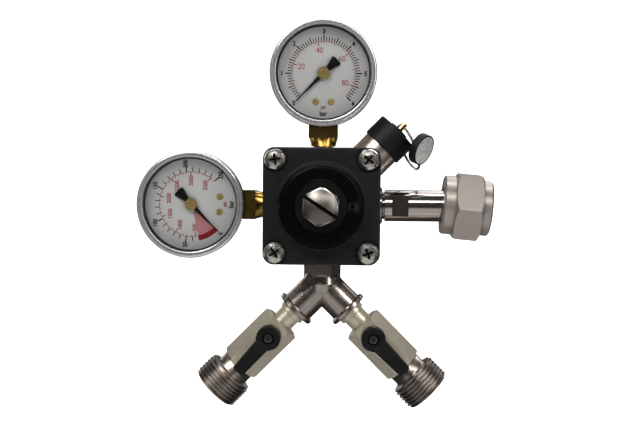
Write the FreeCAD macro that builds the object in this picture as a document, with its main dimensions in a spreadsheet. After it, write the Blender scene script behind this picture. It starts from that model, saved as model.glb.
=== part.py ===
import FreeCAD, Part
import Sketcher
import math
import os

# Two stage gas pressure regulator: body, bonnet, two dial gauges, relief valve
# with pull ring, inlet with union nut, and a Y with two ball valves.
# Millimetres. Origin: centre of the inlet nipple's sealing face, +X out of the
# inlet, +Z up, -Y towards the dials.

V = FreeCAD.Vector
Rot = FreeCAD.Rotation

doc = FreeCAD.newDocument("regulator")
sheet = doc.addObject("Spreadsheet::Sheet", "dims")

DIMS = dict(
    # frame
    centre_x=-68.0,
    # body
    block_half=26.2, block_back=-13.0, block_front=16.0, block_round=4.4,
    recess_rad=21.1, recess_floor=13.0, low_rad=14.0, low_floor=10.5,
    nozzle_rad=5.0, nozzle_low=5.5, high_rad=4.5, high_floor=-8.0,
    plug_rad=7.0, passage_rad=1.5, passage_at=11.0,
    inlet_thread=6.5, inlet_seat=19.0, inlet_bore=2.5,
    gauge_thread=5.2, gauge_seat=18.0, outlet_thread=6.5, outlet_seat=16.5,
    relief_spot=10.2, relief_seat=30.0, relief_thread=6.0, relief_in=22.0,
    # bonnet
    bonnet_half=27.2, bonnet_front=27.0, bonnet_round=5.3, tower_rad=19.6,
    tower_top=36.0, boss_rad=12.0, boss_top=36.6, chamber_rad=15.2,
    chamber_top=32.0, screw_pitch_half=21.5, spot_rad=6.0, spot_deep=0.9,
    vent_at=14.2, vent_rad=0.9,
    # bonnet screws
    pan_rad=5.0, pan_high=3.7, bolt_rad=2.45, bolt_end=10.4, cross_wide=1.15,
    cross_long=5.4, cross_deep=1.9,
    # adjusting screw and what it pushes
    adj_rad=4.95, adj_tip=25.2, adj_under=38.0, adj_top=45.2, adj_af=16.0,
    slot_wide=1.5, slot_deep=3.2, adj_dome=15.0, adj_corner=8.6, slot_turn=-33.0, hex_turn=-5.0,
    button_low=24.0, button_top=27.0, button_rad=11.0,
    range_rad=8.9, range_wire=2.0, range_low=16.2,
    plate_rad=12.0, plate_low=14.05, plate_top=16.0, pilot_rad=6.0, pilot_top=19.0,
    dia_rad=20.9, dia_thick=0.95, ring_in=16.0, ring_top=15.95,
    orifice=1.2, poppet_rad=3.2, poppet_top=5.3, poppet_low=2.2, pin_rad=0.7,
    spring2_rad=2.7, spring2_wire=0.6, plug_hex=17.0, plug_head=4.0,
    # gauges
    gauge_at=63.0, case_rad=24.2, case_back=-12.0, case_front=9.0, wall=1.2,
    bezel_rad=25.55, bezel_low=4.6, bezel_top=12.8, view_rad=22.2, lip=1.4,
    lens_rad=23.9, lens_thick=1.6, dial_rad=22.9, dial_low=5.0, dial_thick=0.6,
    socket_af=14.0, flats_out=30.8, flats_in=24.8, cone_out=34.6, cone_rad=5.95,
    tube_rad=16.0, tube_wide=2.6, tube_high=5.6,
    hub_rad=2.95, hub_low=7.1, hub_top=8.4, shaft_rad=0.6, pinion_rad=1.6,
    sector_rad=8.0, gear_gap=0.1, needle_low=6.5, needle_thick=0.5,
    needle_long=18.6, needle_tail=9.2, dial_screw_x=3.65, dial_screw_y=-13.5,
    dial_screw_rad=1.6, dial_screw_high=0.9,
    # inlet
    stem_rad=7.6, neck_in=28.7, neck_out=29.9, neck_rad=6.5, flat_in=33.3,
    flat_out=41.1, flat_af=11.5, nipple_back=64.5, nipple_end=68.0,
    nipple_rad=9.4, stem_bore=2.5, filter_bore=3.6, filter_deep=6.0,
    nut_pivot=68.0, nut_droop=5.0, nut_af=30.4, nut_start=-10.5, nut_hex_a=-5.0,
    nut_hex_b=8.2, nut_end=12.85, nut_back=-4.5, nut_hole=8.8, nut_bore=10.4,
    nut_thread_in=3.1,
    nut_collar=14.2, nut_nose=13.3, nut_turn=5.0,
    washer_at=0.95, washer_thick=2.0, washer_rad=9.9, washer_hole=4.0,
    # relief valve, distances along its own axis
    rel_rad=9.65, rel_top=44.0, rel_bore=6.6, rel_floor=32.0, rel_pass=2.0,
    cap_rad=10.6, cap_low=39.6, cap_top=50.9, cap_in=45.0, cap_boss=4.85,
    cap_boss_top=51.9, rod_rad=1.5, rod_top=56.0, rod_hole=54.2, disc_rad=5.0,
    disc_low=32.1, disc_top=35.0, spring3_rad=4.2, spring3_wire=0.9,
    ring_rad=11.5, ring_wire=0.65, ring_hole=0.9,
    tag_rad=7.5, tag_thick=3.9, tag_face_rad=6.7, tag_face_thick=0.6,
    # Y fitting and valves
    y_at=-37.8, y_hex=15.5, y_hex_low=-35.2, y_hex_top=-26.3, y_ball=9.3,
    y_arm=8.25, y_arm_end=18.9, y_collar=9.8, y_collar_in=16.7, y_bore=3.0,
    y_socket=6.65, y_socket_in=9.5,
    vb_thread=6.6, vb_in=10.0, vb_neck=5.5, vb_neck_a=21.3, vb_hex_a=27.2,
    vb_hex_b=56.7, vb_af=17.5, vb_pass=3.5, vb_bore=7.2, vb_seat=28.4,
    ball_at=35.0, ball_rad=6.5, gland_rad=5.4, gland_top=11.8,
    out_neck=8.5, out_neck_end=61.8, out_rad=12.2, out_end=73.8, out_bore=4.5,
    out_bore_end=9.5, out_insert=7.1, out_insert_in=41.65,
    lever_hub=5.75, lever_low=12.3, lever_top=20.0, arm_low=15.2, arm_wide=3.75,
    arm_tip_wide=3.0, arm_long=21.4, lever_tilt=3.0, stem_round=2.95,
    tongue=1.9, square_half=2.0, screw_head=2.6, screw_high=1.6,
)

for i, (name, value) in enumerate(DIMS.items()):
    sheet.set("A%d" % (i + 1), name)
    sheet.set("B%d" % (i + 1), repr(float(value)))
    sheet.setAlias("B%d" % (i + 1), name)
doc.recompute()


class E:
    """A size: its value now, and the expression that gives it."""

    def __init__(self, v, s):
        self.v, self.s = v, s

    @staticmethod
    def of(x):
        return x if isinstance(x, E) else E(float(x), "%.9g" % x if x >= 0 else "(%.9g)" % x)

    def __add__(self, o):
        o = E.of(o)
        return E(self.v + o.v, "(%s + %s)" % (self.s, o.s))

    __radd__ = __add__

    def __sub__(self, o):
        o = E.of(o)
        return E(self.v - o.v, "(%s - %s)" % (self.s, o.s))

    def __rsub__(self, o):
        return E.of(o) - self

    def __mul__(self, o):
        o = E.of(o)
        return E(self.v * o.v, "(%s * %s)" % (self.s, o.s))

    __rmul__ = __mul__

    def __truediv__(self, o):
        o = E.of(o)
        return E(self.v / o.v, "(%s / %s)" % (self.s, o.s))

    def __neg__(self):
        return E(-self.v, "(0 - %s)" % self.s)


class Dims:
    def __getattr__(self, name):
        return E(DIMS[name], "dims." + name)


D = Dims()
NODES = []


def num(x):
    return x.v if isinstance(x, E) else float(x)


def bind(obj, prop, value):
    if isinstance(value, E):
        obj.setExpression(prop, value.s)


def place(obj, base, rot=None):
    obj.Placement = FreeCAD.Placement(V(*[num(b) for b in base]), rot or Rot())
    for axis, b in zip("xyz", base):
        bind(obj, "Placement.Base." + axis, b)
    return obj


# the frames that parts are drawn in
FRONT = Rot(V(1, 0, 0), 90)  # local z towards the viewer, local y up


def radial(degrees):
    """local z outward in the port plane, local y towards the viewer"""
    a = math.radians(degrees)
    c, s = math.cos(a), math.sin(a)
    return Rot(V(-s, 0, c), V(0, -1, 0), V(c, 0, s), "ZYX")


def axes(x, y, z):
    return Rot(V(*x), V(*y), V(*z), "ZYX")


CENTRE = (D.centre_x, 0, 0)


def body(name, base=CENTRE, rot=None):
    b = doc.addObject("PartDesign::Body", name)
    b.Label = name
    place(b, base, rot)
    return b


def node(obj, name=None):
    if name:
        obj.Label = name
    NODES.append(obj)
    return obj


def sketch(b, plane, offset=0, turn=0.0, name="sketch"):
    sk = b.newObject("Sketcher::SketchObject", name)
    origin = [o for o in b.Origin.OriginFeatures if o.Role == plane][0]
    sk.AttachmentSupport = [(origin, "")]
    sk.MapMode = "FlatFace"
    sk.AttachmentOffset = FreeCAD.Placement(V(0, 0, num(offset)), Rot(V(0, 0, 1), num(turn)))
    bind(sk, "AttachmentOffset.Base.z", offset)
    return sk


def hold(sk, index, pos, x, y):
    """fix one point of the sketch by its two distances from the origin"""
    for kind, axis, v in (("DistanceX", -2, x), ("DistanceY", -1, y)):
        if not isinstance(v, E) and v == 0:
            sk.addConstraint(Sketcher.Constraint("PointOnObject", index, pos, axis))
            continue
        n = num(v)
        if n >= 0:
            k = sk.addConstraint(Sketcher.Constraint(kind, -1, 1, index, pos, n))
            bind(sk, "Constraints[%d]" % k, v)
        else:
            k = sk.addConstraint(Sketcher.Constraint(kind, index, pos, -1, 1, -n))
            bind(sk, "Constraints[%d]" % k, -v)


def outline(sk, pts):
    n = len(pts)
    first = sk.GeometryCount
    P = [V(num(x), num(y), 0) for x, y in pts]
    sk.addGeometry([Part.LineSegment(P[i], P[(i + 1) % n]) for i in range(n)], False)
    for i in range(n):
        sk.addConstraint(Sketcher.Constraint("Coincident", first + i, 2, first + (i + 1) % n, 1))
    for i, (x, y) in enumerate(pts):
        hold(sk, first + i, 1, x, y)
    return sk


def circle(sk, x, y, r):
    g = sk.addGeometry(Part.Circle(V(num(x), num(y), 0), V(0, 0, 1), num(r)), False)
    hold(sk, g, 3, x, y)
    k = sk.addConstraint(Sketcher.Constraint("Radius", g, num(r)))
    bind(sk, "Constraints[%d]" % k, r)
    return sk


def volume(b):
    return b.Shape.Volume if not b.Shape.isNull() else 0.0


def feature(b, kind, sk, grows, **props):
    before = volume(b)
    f = b.newObject("PartDesign::" + kind, kind.lower())
    f.Profile = sk
    for k, v in props.items():
        if isinstance(v, E):
            setattr(f, k, v.v)
            bind(f, k, v)
        else:
            setattr(f, k, v)
    sk.Visibility = False
    doc.recompute()
    if (volume(b) - before) * (1 if grows else -1) <= 1e-9:
        raise SystemExit("%s: a %s changed nothing" % (b.Label, kind))
    return f


def revolve(b, pts, turn=0.0, plane="XZ_Plane"):
    sk = outline(sketch(b, plane, 0, turn), pts)
    return feature(b, "Revolution", sk, True, ReferenceAxis=(sk, ["V_Axis"]), Angle=360.0)


def groove(b, pts, turn=0.0, plane="XZ_Plane"):
    sk = outline(sketch(b, plane, 0, turn), pts)
    return feature(b, "Groove", sk, False, ReferenceAxis=(sk, ["V_Axis"]), Angle=360.0)


def pad(b, draw, low, high, plane="XY_Plane", turn=0.0):
    """material from low to high along the plane's normal"""
    sk = draw(sketch(b, plane, low, turn))
    return feature(b, "Pad", sk, True, Length=E.of(high) - low)


def pocket(b, draw, high, deep, plane="XY_Plane", turn=0.0, reversed=False):
    """a cut from high, deep towards the plane's back"""
    sk = draw(sketch(b, plane, high, turn))
    return feature(b, "Pocket", sk, False, Length=E.of(deep), Reversed=reversed)


def slice_both(b, draw, span, plane, turn=0.0):
    """a cut through the plane, span long in all"""
    sk = draw(sketch(b, plane, 0, turn))
    return feature(b, "Pocket", sk, False, SideType="Symmetric", Length=E.of(span))


def hexagon(af, turn=0.0):
    def draw(sk):
        r = E.of(af) / math.sqrt(3)
        return outline(sk, [
            (r * round(math.cos(math.radians(turn + 60 * k)), 9), r * round(math.sin(math.radians(turn + 60 * k)), 9))
            for k in range(6)])
    return draw


def rect(x0, y0, x1, y1):
    return lambda sk: outline(sk, [(x0, y0), (x1, y0), (x1, y1), (x0, y1)])


def round_at(x, y, r):
    return lambda sk: circle(sk, x, y, r)


def edges(b, test):
    return ["Edge%d" % (i + 1) for i, e in enumerate(b.Shape.Edges) if test(e)]


def to_local(b):
    return b.Placement.inverse()


def dress(b, kind, size, test):
    """round or bevel the tip's edges that pass the test, in local coordinates"""
    inv = to_local(b)
    tip = b.Tip
    chosen = []
    for i, e in enumerate(tip.Shape.Edges):
        if test(e):
            chosen.append("Edge%d" % (i + 1))
    if not chosen:
        raise SystemExit("%s: no edges for the %s" % (b.Label, kind))
    f = b.newObject("PartDesign::" + kind, kind.lower())
    f.Base = (tip, chosen)
    prop = "Radius" if kind == "Fillet" else "Size"
    setattr(f, prop, num(size))
    bind(f, prop, size)
    doc.recompute()
    if f.Shape.isNull() or not f.Shape.isValid():
        raise SystemExit("%s: the %s failed" % (b.Label, kind))
    return f


def ring_edge(r, z, tol=0.02):
    """test for a full circle of this radius about local z at this height"""
    def test(e):
        c = e.Curve
        return (isinstance(c, Part.Circle) and abs(c.Radius - num(r)) < tol and abs(c.Center.z - num(z)) < tol
                and abs(c.Center.x) < tol and abs(c.Center.y) < tol and abs(abs(c.Axis.z) - 1) < 1e-6)
    return test


def upright_edge(length):
    def test(e):
        return (isinstance(e.Curve, Part.Line) and abs(abs(e.Curve.Direction.z) - 1) < 1e-6
                and abs(e.Length - num(length)) < 0.05)
    return test


def prim(kind, name, base, rot=None, **props):
    o = doc.addObject("Part::" + kind, name)
    for k, v in props.items():
        setattr(o, k, num(v))
        bind(o, k, v)
    return place(o, base, rot)


def union(name, parts):
    o = doc.addObject("Part::MultiFuse", name)
    o.Shapes = parts
    return o


def cut(name, a, b):
    o = doc.addObject("Part::Cut", name)
    o.Base, o.Tool = a, b
    return o


def group(name, parts, base=None, rot=None):
    o = doc.addObject("Part::Compound", name)
    o.Links = parts
    o.Label = name
    if base is not None:
        place(o, base, rot)
    return o


def coil(name, rad, wire, low, high, turns, base, rot):
    """a coil spring with flat closed ends, along local z"""
    r, w = num(rad), num(wire) / 2
    lo, hi = num(low) + w, num(high) - w
    n = int(turns * 16)
    pts = []
    for i in range(n + 1):
        t = i / n
        a = 2 * math.pi * turns * t
        pts.append(V(r * math.cos(a), r * math.sin(a), lo + (hi - lo) * t))
    curve = Part.BSplineCurve()
    curve.interpolate(pts)
    path = Part.Wire([curve.toShape()])
    start = curve.tangent(curve.FirstParameter)[0]
    prof = Part.Wire([Part.makeCircle(w, pts[0], start)])
    solid = path.makePipeShell([prof], True, True)
    o = doc.addObject("Part::Feature", name)
    o.Label = name
    o.Shape = solid
    return place(o, base, rot)


# ------------------------------------------------------------------ body
b = body("regulator_body", rot=FRONT)
pad(b, rect(-D.block_half, -D.block_half, D.block_half, D.block_half), D.block_back, D.block_front)
dress(b, "Fillet", D.block_round, upright_edge(D.block_front - D.block_back))
groove(b, [
    (0, D.block_front + 1), (D.recess_rad, D.block_front + 1), (D.recess_rad, D.recess_floor),
    (D.low_rad, D.recess_floor), (D.low_rad, D.low_floor), (D.nozzle_rad + 0.03, D.low_floor),
    (D.nozzle_rad + 0.03, D.nozzle_low), (D.high_rad, D.nozzle_low), (D.high_rad, D.high_floor),
    (D.plug_rad + 0.03, D.high_floor), (D.plug_rad + 0.03, D.block_back - 1), (0, D.block_back - 1)])


def port(b, degrees, thread, seat, bore, start, out=None):
    out = out or D.block_half + 3
    groove(b, [(0, start), (bore, start), (bore, seat), (thread, seat), (thread, out), (0, out)],
           turn=degrees - 90, plane="XY_Plane")


port(b, 0, D.inlet_thread + 0.04, D.inlet_seat, D.inlet_bore, 2.0)
port(b, 180, D.gauge_thread + 0.04, D.gauge_seat, D.inlet_bore, 2.0)
port(b, 90, D.gauge_thread + 0.04, D.gauge_seat, D.passage_rad, D.passage_at - D.passage_rad - 0.8)
port(b, 270, D.outlet_thread + 0.04, D.outlet_seat, D.passage_rad, D.passage_at - D.passage_rad - 0.8)
groove(b, [(0, D.passage_at - D.passage_rad), (D.passage_rad, D.passage_at - D.passage_rad - 0.8),
           (D.passage_rad, D.relief_in), (D.relief_thread + 0.04, D.relief_in), (D.relief_thread + 0.04, D.relief_seat),
           (D.relief_spot, D.relief_seat), (D.relief_spot, D.relief_seat + 14), (0, D.relief_seat + 14)],
       turn=-45, plane="XY_Plane")
h45 = math.sqrt(0.5)
rise = D.passage_rad - 0.3
pocket(b, lambda sk: circle(circle(circle(sk, 0, D.passage_at, rise), 0, -D.passage_at, rise),
                            D.passage_at * h45, D.passage_at * h45, rise), D.low_floor, D.low_floor)


def four_holes(r):
    def draw(sk):
        p = D.screw_pitch_half
        for sx in (1, -1):
            for sy in (1, -1):
                circle(sk, p * sx, p * sy, r)
        return sk
    return draw


pocket(b, four_holes(D.bolt_rad + 0.05), D.block_front, D.block_front - D.bolt_end + 0.6)
node(b)

# ---------------------------------------------------------------- bonnet
b = body("bonnet", rot=FRONT)
pad(b, rect(-D.bonnet_half, -D.bonnet_half, D.bonnet_half, D.bonnet_half), D.block_front, D.bonnet_front)
dress(b, "Fillet", D.bonnet_round, upright_edge(D.bonnet_front - D.block_front))
revolve(b, [(0, D.bonnet_front - 2), (D.tower_rad, D.bonnet_front - 2), (D.tower_rad, D.tower_top),
            (D.boss_rad + 0.6, D.tower_top), (D.boss_rad, D.boss_top), (0, D.boss_top)])
dress(b, "Fillet", 2.4, ring_edge(D.tower_rad, D.tower_top))
dress(b, "Fillet", 1.6, ring_edge(D.tower_rad, D.bonnet_front))
dress(b, "Fillet", 1.0, lambda e: abs(e.BoundBox.ZMin - num(D.bonnet_front)) < 1e-3 and abs(e.BoundBox.ZMax - num(D.bonnet_front)) < 1e-3
      and max(abs(e.CenterOfMass.x), abs(e.CenterOfMass.y)) > 24)
groove(b, [(0, D.block_front - 1), (D.chamber_rad, D.block_front - 1), (D.chamber_rad, D.chamber_top - 2),
           (D.chamber_rad - 2, D.chamber_top), (D.adj_rad + 0.06, D.chamber_top), (D.adj_rad + 0.06, D.boss_top - 0.7),
           (D.adj_rad + 0.8, D.boss_top + 0.04), (0, D.boss_top + 0.04)])
pocket(b, four_holes(D.spot_rad), D.bonnet_front, D.spot_deep)
pocket(b, four_holes(D.bolt_rad + 0.35), D.bonnet_front, D.bonnet_front - D.block_front)
pocket(b, round_at(D.vent_at, 0, D.vent_rad), D.tower_top + 1, D.tower_top + 1 - D.chamber_top + 3)
node(b)

# ---------------------------------------------------------- bonnet screws
screws = []
for k, (sx, sy, turn) in enumerate(((-1, 1, 8), (1, 1, 52), (-1, -1, 31), (1, -1, 20))):
    at = (D.screw_pitch_half * sx, D.screw_pitch_half * sy, 0)
    head_low = D.bonnet_front - D.spot_deep

    def zed(z, at=at):
        return (at[0], at[1], z)

    s = body("pan_screw_%d" % (k + 1), base=at, rot=Rot(V(0, 0, 1), turn))
    revolve(s, [(0, D.bolt_end), (D.bolt_rad - 0.5, D.bolt_end), (D.bolt_rad, D.bolt_end + 0.6), (D.bolt_rad, head_low),
                (D.pan_rad, head_low), (D.pan_rad, head_low + D.pan_high * 0.45), (D.pan_rad - 0.45, head_low + D.pan_high * 0.72),
                (D.pan_rad - 1.5, head_low + D.pan_high * 0.93), (D.pan_rad - 3, head_low + D.pan_high), (0, head_low + D.pan_high)])
    top = head_low + D.pan_high
    for across in (0, 1):
        w, l = D.cross_wide / 2, D.cross_long / 2
        box = rect(-l, -w, l, w) if across else rect(-w, -l, w, l)
        pocket(s, box, top, D.cross_deep)
    screws.append(s)
node(group("bonnet_screws", screws, CENTRE, FRONT))

# --------------------------------------------------------- adjusting screw
b = body("adjusting_screw", rot=FRONT)
revolve(b, [(0, D.adj_tip), (D.adj_rad - 2, D.adj_tip), (D.adj_rad, D.adj_tip + 2), (D.adj_rad, D.adj_under + 0.1), (0, D.adj_under + 0.1)])
pad(b, hexagon(D.adj_af, 90 + DIMS["hex_turn"]), D.adj_under, D.adj_top)
ra = D.adj_af / math.sqrt(3)
# a domed head, its corners turned down
dome = [(D.adj_dome * round(math.sin(math.radians(q_)), 9), D.adj_top - D.adj_dome * round(1 - math.cos(math.radians(q_)), 9)) for q_ in (6, 12, 17, 22, 26.5, 31)]
groove(b, [(0, D.adj_top)] + dome + [(D.adj_corner, D.adj_top - 3.1), (D.adj_corner, D.adj_under - 0.01), (ra + 1, D.adj_under - 0.01), (ra + 1, D.adj_top + 1), (0, D.adj_top + 1)], plane="XZ_Plane")
w = D.slot_wide / 2
pocket(b, rect(-ra - 1, -w, ra + 1, w), D.adj_top, D.slot_deep, turn=DIMS["slot_turn"])
node(b)

b = body("spring_button", rot=FRONT)
revolve(b, [(0, D.button_low - 2), (D.pilot_rad, D.button_low - 2), (D.pilot_rad, D.button_low), (D.button_rad, D.button_low),
            (D.button_rad, D.button_top - 0.6), (D.button_rad - 0.6, D.button_top), (D.adj_rad + 1.2, D.button_top),
            (D.adj_rad + 0.3, D.adj_tip - 0.02), (0, D.adj_tip - 0.02)])
node(b)

node(coil("range_spring", D.range_rad, D.range_wire, D.plate_top + 0.05, D.button_low - 0.05, 2.5, CENTRE, FRONT))

b = body("diaphragm_plate", rot=FRONT)
revolve(b, [(0, D.plate_low), (D.plate_rad, D.plate_low), (D.plate_rad, D.plate_top), (D.pilot_rad, D.plate_top),
            (D.pilot_rad, D.pilot_top), (2.0, D.pilot_top), (2.0, D.pilot_top - 1.5), (0, D.pilot_top - 1.5)])
node(b)

b = body("diaphragm", rot=FRONT)
revolve(b, [(0, D.recess_floor + 0.02), (D.dia_rad, D.recess_floor + 0.02), (D.dia_rad, D.recess_floor + D.dia_thick), (0, D.recess_floor + D.dia_thick)])
node(b)

b = body("diaphragm_ring", rot=FRONT)
revolve(b, [(D.ring_in, D.recess_floor + D.dia_thick + 0.03), (D.dia_rad, D.recess_floor + D.dia_thick + 0.03),
            (D.dia_rad, D.ring_top), (D.ring_in, D.ring_top)])
node(b)

b = body("seat_nozzle", rot=FRONT)
revolve(b, [(D.orifice, D.nozzle_low), (D.nozzle_rad, D.nozzle_low),
            (D.nozzle_rad, D.low_floor), (4.2, D.low_floor + 1.2), (3.0, D.low_floor + 1.2), (3.0, D.low_floor - 2), (D.orifice, D.low_floor - 2)])
node(b)

b = body("poppet", rot=FRONT)
revolve(b, [(0, D.poppet_low - 4), (1.6, D.poppet_low - 4), (1.6, D.poppet_low), (D.poppet_rad, D.poppet_low),
            (D.poppet_rad, D.poppet_top), (D.pin_rad, D.poppet_top), (D.pin_rad, D.recess_floor - 0.05), (0, D.recess_floor - 0.05)])
node(b)

node(coil("poppet_spring", D.spring2_rad, D.spring2_wire, D.high_floor + 0.6, D.poppet_low - 0.05, 5.0, CENTRE, FRONT))

b = body("rear_plug", rot=FRONT)
revolve(b, [(0, D.block_back), (D.plug_rad, D.block_back), (D.plug_rad, D.high_floor - 0.05), (3.5, D.high_floor - 0.05),
            (3.5, D.high_floor + 0.5), (0, D.high_floor + 0.5)])
pad(b, hexagon(D.plug_hex), D.block_back - D.plug_head, D.block_back)
rp = D.plug_hex / math.sqrt(3)
groove(b, [(D.plug_hex / 2 - 0.2, D.block_back - D.plug_head - 0.01), (rp + 1, D.block_back - D.plug_head - 0.01), (rp + 1, D.block_back - D.plug_head + 1.2)])
node(b)


# ---------------------------------------------------------------- gauges
def gauge(tag, base, rot):
    def gb(name):
        return body(tag + name, base=base, rot=rot)

    out = D.flats_in
    # case: a cup with the socket's square opening in its wall
    b = gb("case")
    revolve(b, [(0, D.case_back), (D.case_rad - 1.2, D.case_back), (D.case_rad, D.case_back + 1.2), (D.case_rad, D.case_front),
                (D.case_rad - D.wall, D.case_front), (D.case_rad - D.wall, D.case_back + D.wall), (0, D.case_back + D.wall)])
    s = D.socket_af / 2 + 0.1
    pocket(b, rect(-s, -s, s, D.bezel_low - 0.1), D.case_rad + 2, 9.0, plane="XZ_Plane")
    pocket(b, round_at(0, 15.0, 3.0), D.case_back + D.wall + 1, 3.0)
    node(b)

    b = gb("bezel")
    top, z = D.bezel_top, D.bezel_top - D.lip
    revolve(b, [(D.case_rad + 0.05, D.bezel_low), (D.bezel_rad, D.bezel_low), (D.bezel_rad, top - 1.3), (D.bezel_rad - 0.35, top - 0.45),
                (D.bezel_rad - 1.1, top), (D.view_rad + 0.9, top), (D.view_rad + 0.1, top - 0.35), (D.view_rad, top - 1.0),
                (D.view_rad, z), (D.case_rad + 0.05, z)])
    node(b)

    b = gb("lens")
    revolve(b, [(0, z - 0.03 - D.lens_thick), (D.lens_rad, z - 0.03 - D.lens_thick), (D.lens_rad, z - 0.03), (0, z - 0.03)])
    node(b)

    b = gb("dial")
    pad(b, round_at(0, 0, D.dial_rad), D.dial_low, D.dial_low + D.dial_thick)
    sx, sy = D.dial_screw_x, D.dial_screw_y
    pocket(b, lambda sk: circle(circle(circle(sk, 0, 0, 1.2), -sx, sy, 0.9), sx, sy, 0.9), D.dial_low + D.dial_thick, D.dial_thick)
    node(b)

    pair = []
    for k in (-1, 1):
        q = body("%sds%d" % (tag, k + 2), base=(sx * k, sy, 0), rot=Rot())
        d0 = D.dial_low + D.dial_thick
        revolve(q, [(0, 3.2), (0.8, 3.2), (0.8, d0), (D.dial_screw_rad, d0), (D.dial_screw_rad, d0 + 0.45),
                    (D.dial_screw_rad - 0.45, d0 + D.dial_screw_high), (0, d0 + D.dial_screw_high)])
        pocket(q, rect(-2, -0.2, 2, 0.2), d0 + D.dial_screw_high, 0.45, turn=35.0 * k)
        pair.append(q)
    node(group(tag + "dial_screws", pair, base, rot))

    # socket: square flats outside, turned cone, threaded end, block inside
    b = gb("socket")
    a = D.socket_af / 2
    inner = E.of(10.5)
    pad(b, rect(-a, -a, a, a), D.bezel_rad + 0.1, D.flats_out, plane="XZ_Plane")
    pad(b, rect(-a, -a, a, D.bezel_low - 0.2), D.case_rad - 4.0, D.bezel_rad + 0.2, plane="XZ_Plane")
    pad(b, rect(-a, -4.2, a, 2.4), inner, D.case_rad - 3.9, plane="XZ_Plane")
    rev = [(0, D.flats_out - 0.5), (a - 0.05, D.flats_out - 0.5), (a - 0.05, D.flats_out), (D.cone_rad, D.cone_out), (D.gauge_thread - 0.7, D.cone_out + 0.3),
           (D.gauge_thread - 0.7, D.cone_out + 1.2), (D.gauge_thread, D.cone_out + 1.9), (D.gauge_thread, D.gauge_at - D.gauge_seat - 0.2), (0, D.gauge_at - D.gauge_seat - 0.2)]
    sk = outline(sketch(b, "XY_Plane", 0, 180), rev)
    feature(b, "Revolution", sk, True, ReferenceAxis=(sk, ["V_Axis"]), Angle=360.0)
    bore = [(0, 14.0), (1.4, 14.0), (1.4, D.gauge_at), (0, D.gauge_at)]
    sk = outline(sketch(b, "XY_Plane", 0, 180), bore)
    feature(b, "Groove", sk, False, ReferenceAxis=(sk, ["V_Axis"]), Angle=360.0)
    node(b)

    # bourdon tube: a flat C tube from the socket's block round to its tip
    r, hw, hh = D.tube_rad.v, D.tube_wide.v / 2, D.tube_high.v / 2
    zc = -1.0
    first = math.radians(-75)
    rr = hw * 0.98

    def at(x, z):
        return V(x * math.cos(first), x * math.sin(first), z)

    def corner(cx, cz, a0):
        m = math.radians(a0 + 45)
        return at(cx + rr * math.cos(m), cz + rr * math.sin(m))

    x0, x1, z0, z1 = r - hw, r + hw, zc - hh, zc + hh
    p = [at(x0 + rr, z0), at(x1 - rr, z0), at(x1, z0 + rr), at(x1, z1 - rr), at(x1 - rr, z1), at(x0 + rr, z1), at(x0, z1 - rr), at(x0, z0 + rr)]
    segs = [Part.LineSegment(p[0], p[1]).toShape(), Part.Arc(p[1], corner(x1 - rr, z0 + rr, -90), p[2]).toShape(),
            Part.LineSegment(p[2], p[3]).toShape(), Part.Arc(p[3], corner(x1 - rr, z1 - rr, 0), p[4]).toShape(),
            Part.LineSegment(p[4], p[5]).toShape(), Part.Arc(p[5], corner(x0 + rr, z1 - rr, 90), p[6]).toShape(),
            Part.LineSegment(p[6], p[7]).toShape(), Part.Arc(p[7], corner(x0 + rr, z0 + rr, 180), p[0]).toShape()]
    tube = Part.Face(Part.Wire(segs)).revolve(V(0, 0, 0), V(0, 0, 1), 273)
    o = doc.addObject("Part::Feature", tag + "bourdon_tube")
    o.Label = tag + "bourdon_tube"
    block = Part.makeBox(2 * a.v + 0.04, 40, 40, V(-a.v - 0.02, -40 - 10.4, -20))
    o.Shape = tube.cut(block).Solids[0]
    place(o, base, rot)
    node(o)

    # movement: two brass plates on pillars, bored for the two arbors
    px, py = 6.79, -6.79
    b = gb("movement")

    def plates(sk):
        return outline(sk, [(-4.5, -10.2), (9.5, -10.2), (9.5, -3.5), (3.5, 4.5), (-4.5, 4.5)])
    pad(b, plates, -2.2, -1.2)
    pad(b, plates, 2.4, 3.2)
    pad(b, lambda sk: circle(circle(sk, -3.2, -8.6, 1.0), -2.8, 3.0, 1.0), -1.3, 2.5)
    pocket(b, lambda sk: circle(circle(sk, 0, 0, D.shaft_rad + 0.05), px, py, 0.65), 3.2, 6.0)
    pocket(b, lambda sk: circle(sk, -D.dial_screw_x + 0.45, -8.6, 0.3), 3.2, 0.3)
    node(b)

    # sector: a quadrant on its arbor, and its tail
    b = gb("sector")
    R_, half, ap = D.sector_rad.v, math.radians(33), math.radians(108)
    n = 14
    arc = [(R_ * math.cos(ap - half + 2 * half * i / n), R_ * math.sin(ap - half + 2 * half * i / n)) for i in range(n + 1)]
    pad(b, lambda sk: outline(sk, [(D.sector_rad * round(x / R_, 6), D.sector_rad * round(y / R_, 6)) for x, y in arc] + [(0.9, -0.9)]), 0.6, 1.5)
    pad(b, round_at(0, 0, 1.6), 0.2, 1.9)
    pad(b, round_at(0, 0, 0.6), -2.0, 3.0)
    place(b, base, rot)
    off = rot.multVec(V(px, py, 0))
    b.Placement = FreeCAD.Placement(V(*[num(q) for q in base]) + off, rot)
    for axis, q, d in zip("xyz", base, off):
        b.setExpression("Placement.Base." + axis, (E.of(q) + round(d, 9)).s)
    node(b)

    b = gb("pointer_shaft")
    revolve(b, [(0, -2.0), (D.shaft_rad, -2.0), (D.shaft_rad, 0.3), (D.pinion_rad - D.gear_gap, 0.3), (D.pinion_rad - D.gear_gap, 1.8),
                (D.shaft_rad, 1.8), (D.shaft_rad, D.hub_low), (D.hub_rad, D.hub_low), (D.hub_rad, D.hub_top - 0.5),
                (D.hub_rad - 0.6, D.hub_top), (0, D.hub_top)])
    node(b)

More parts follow.
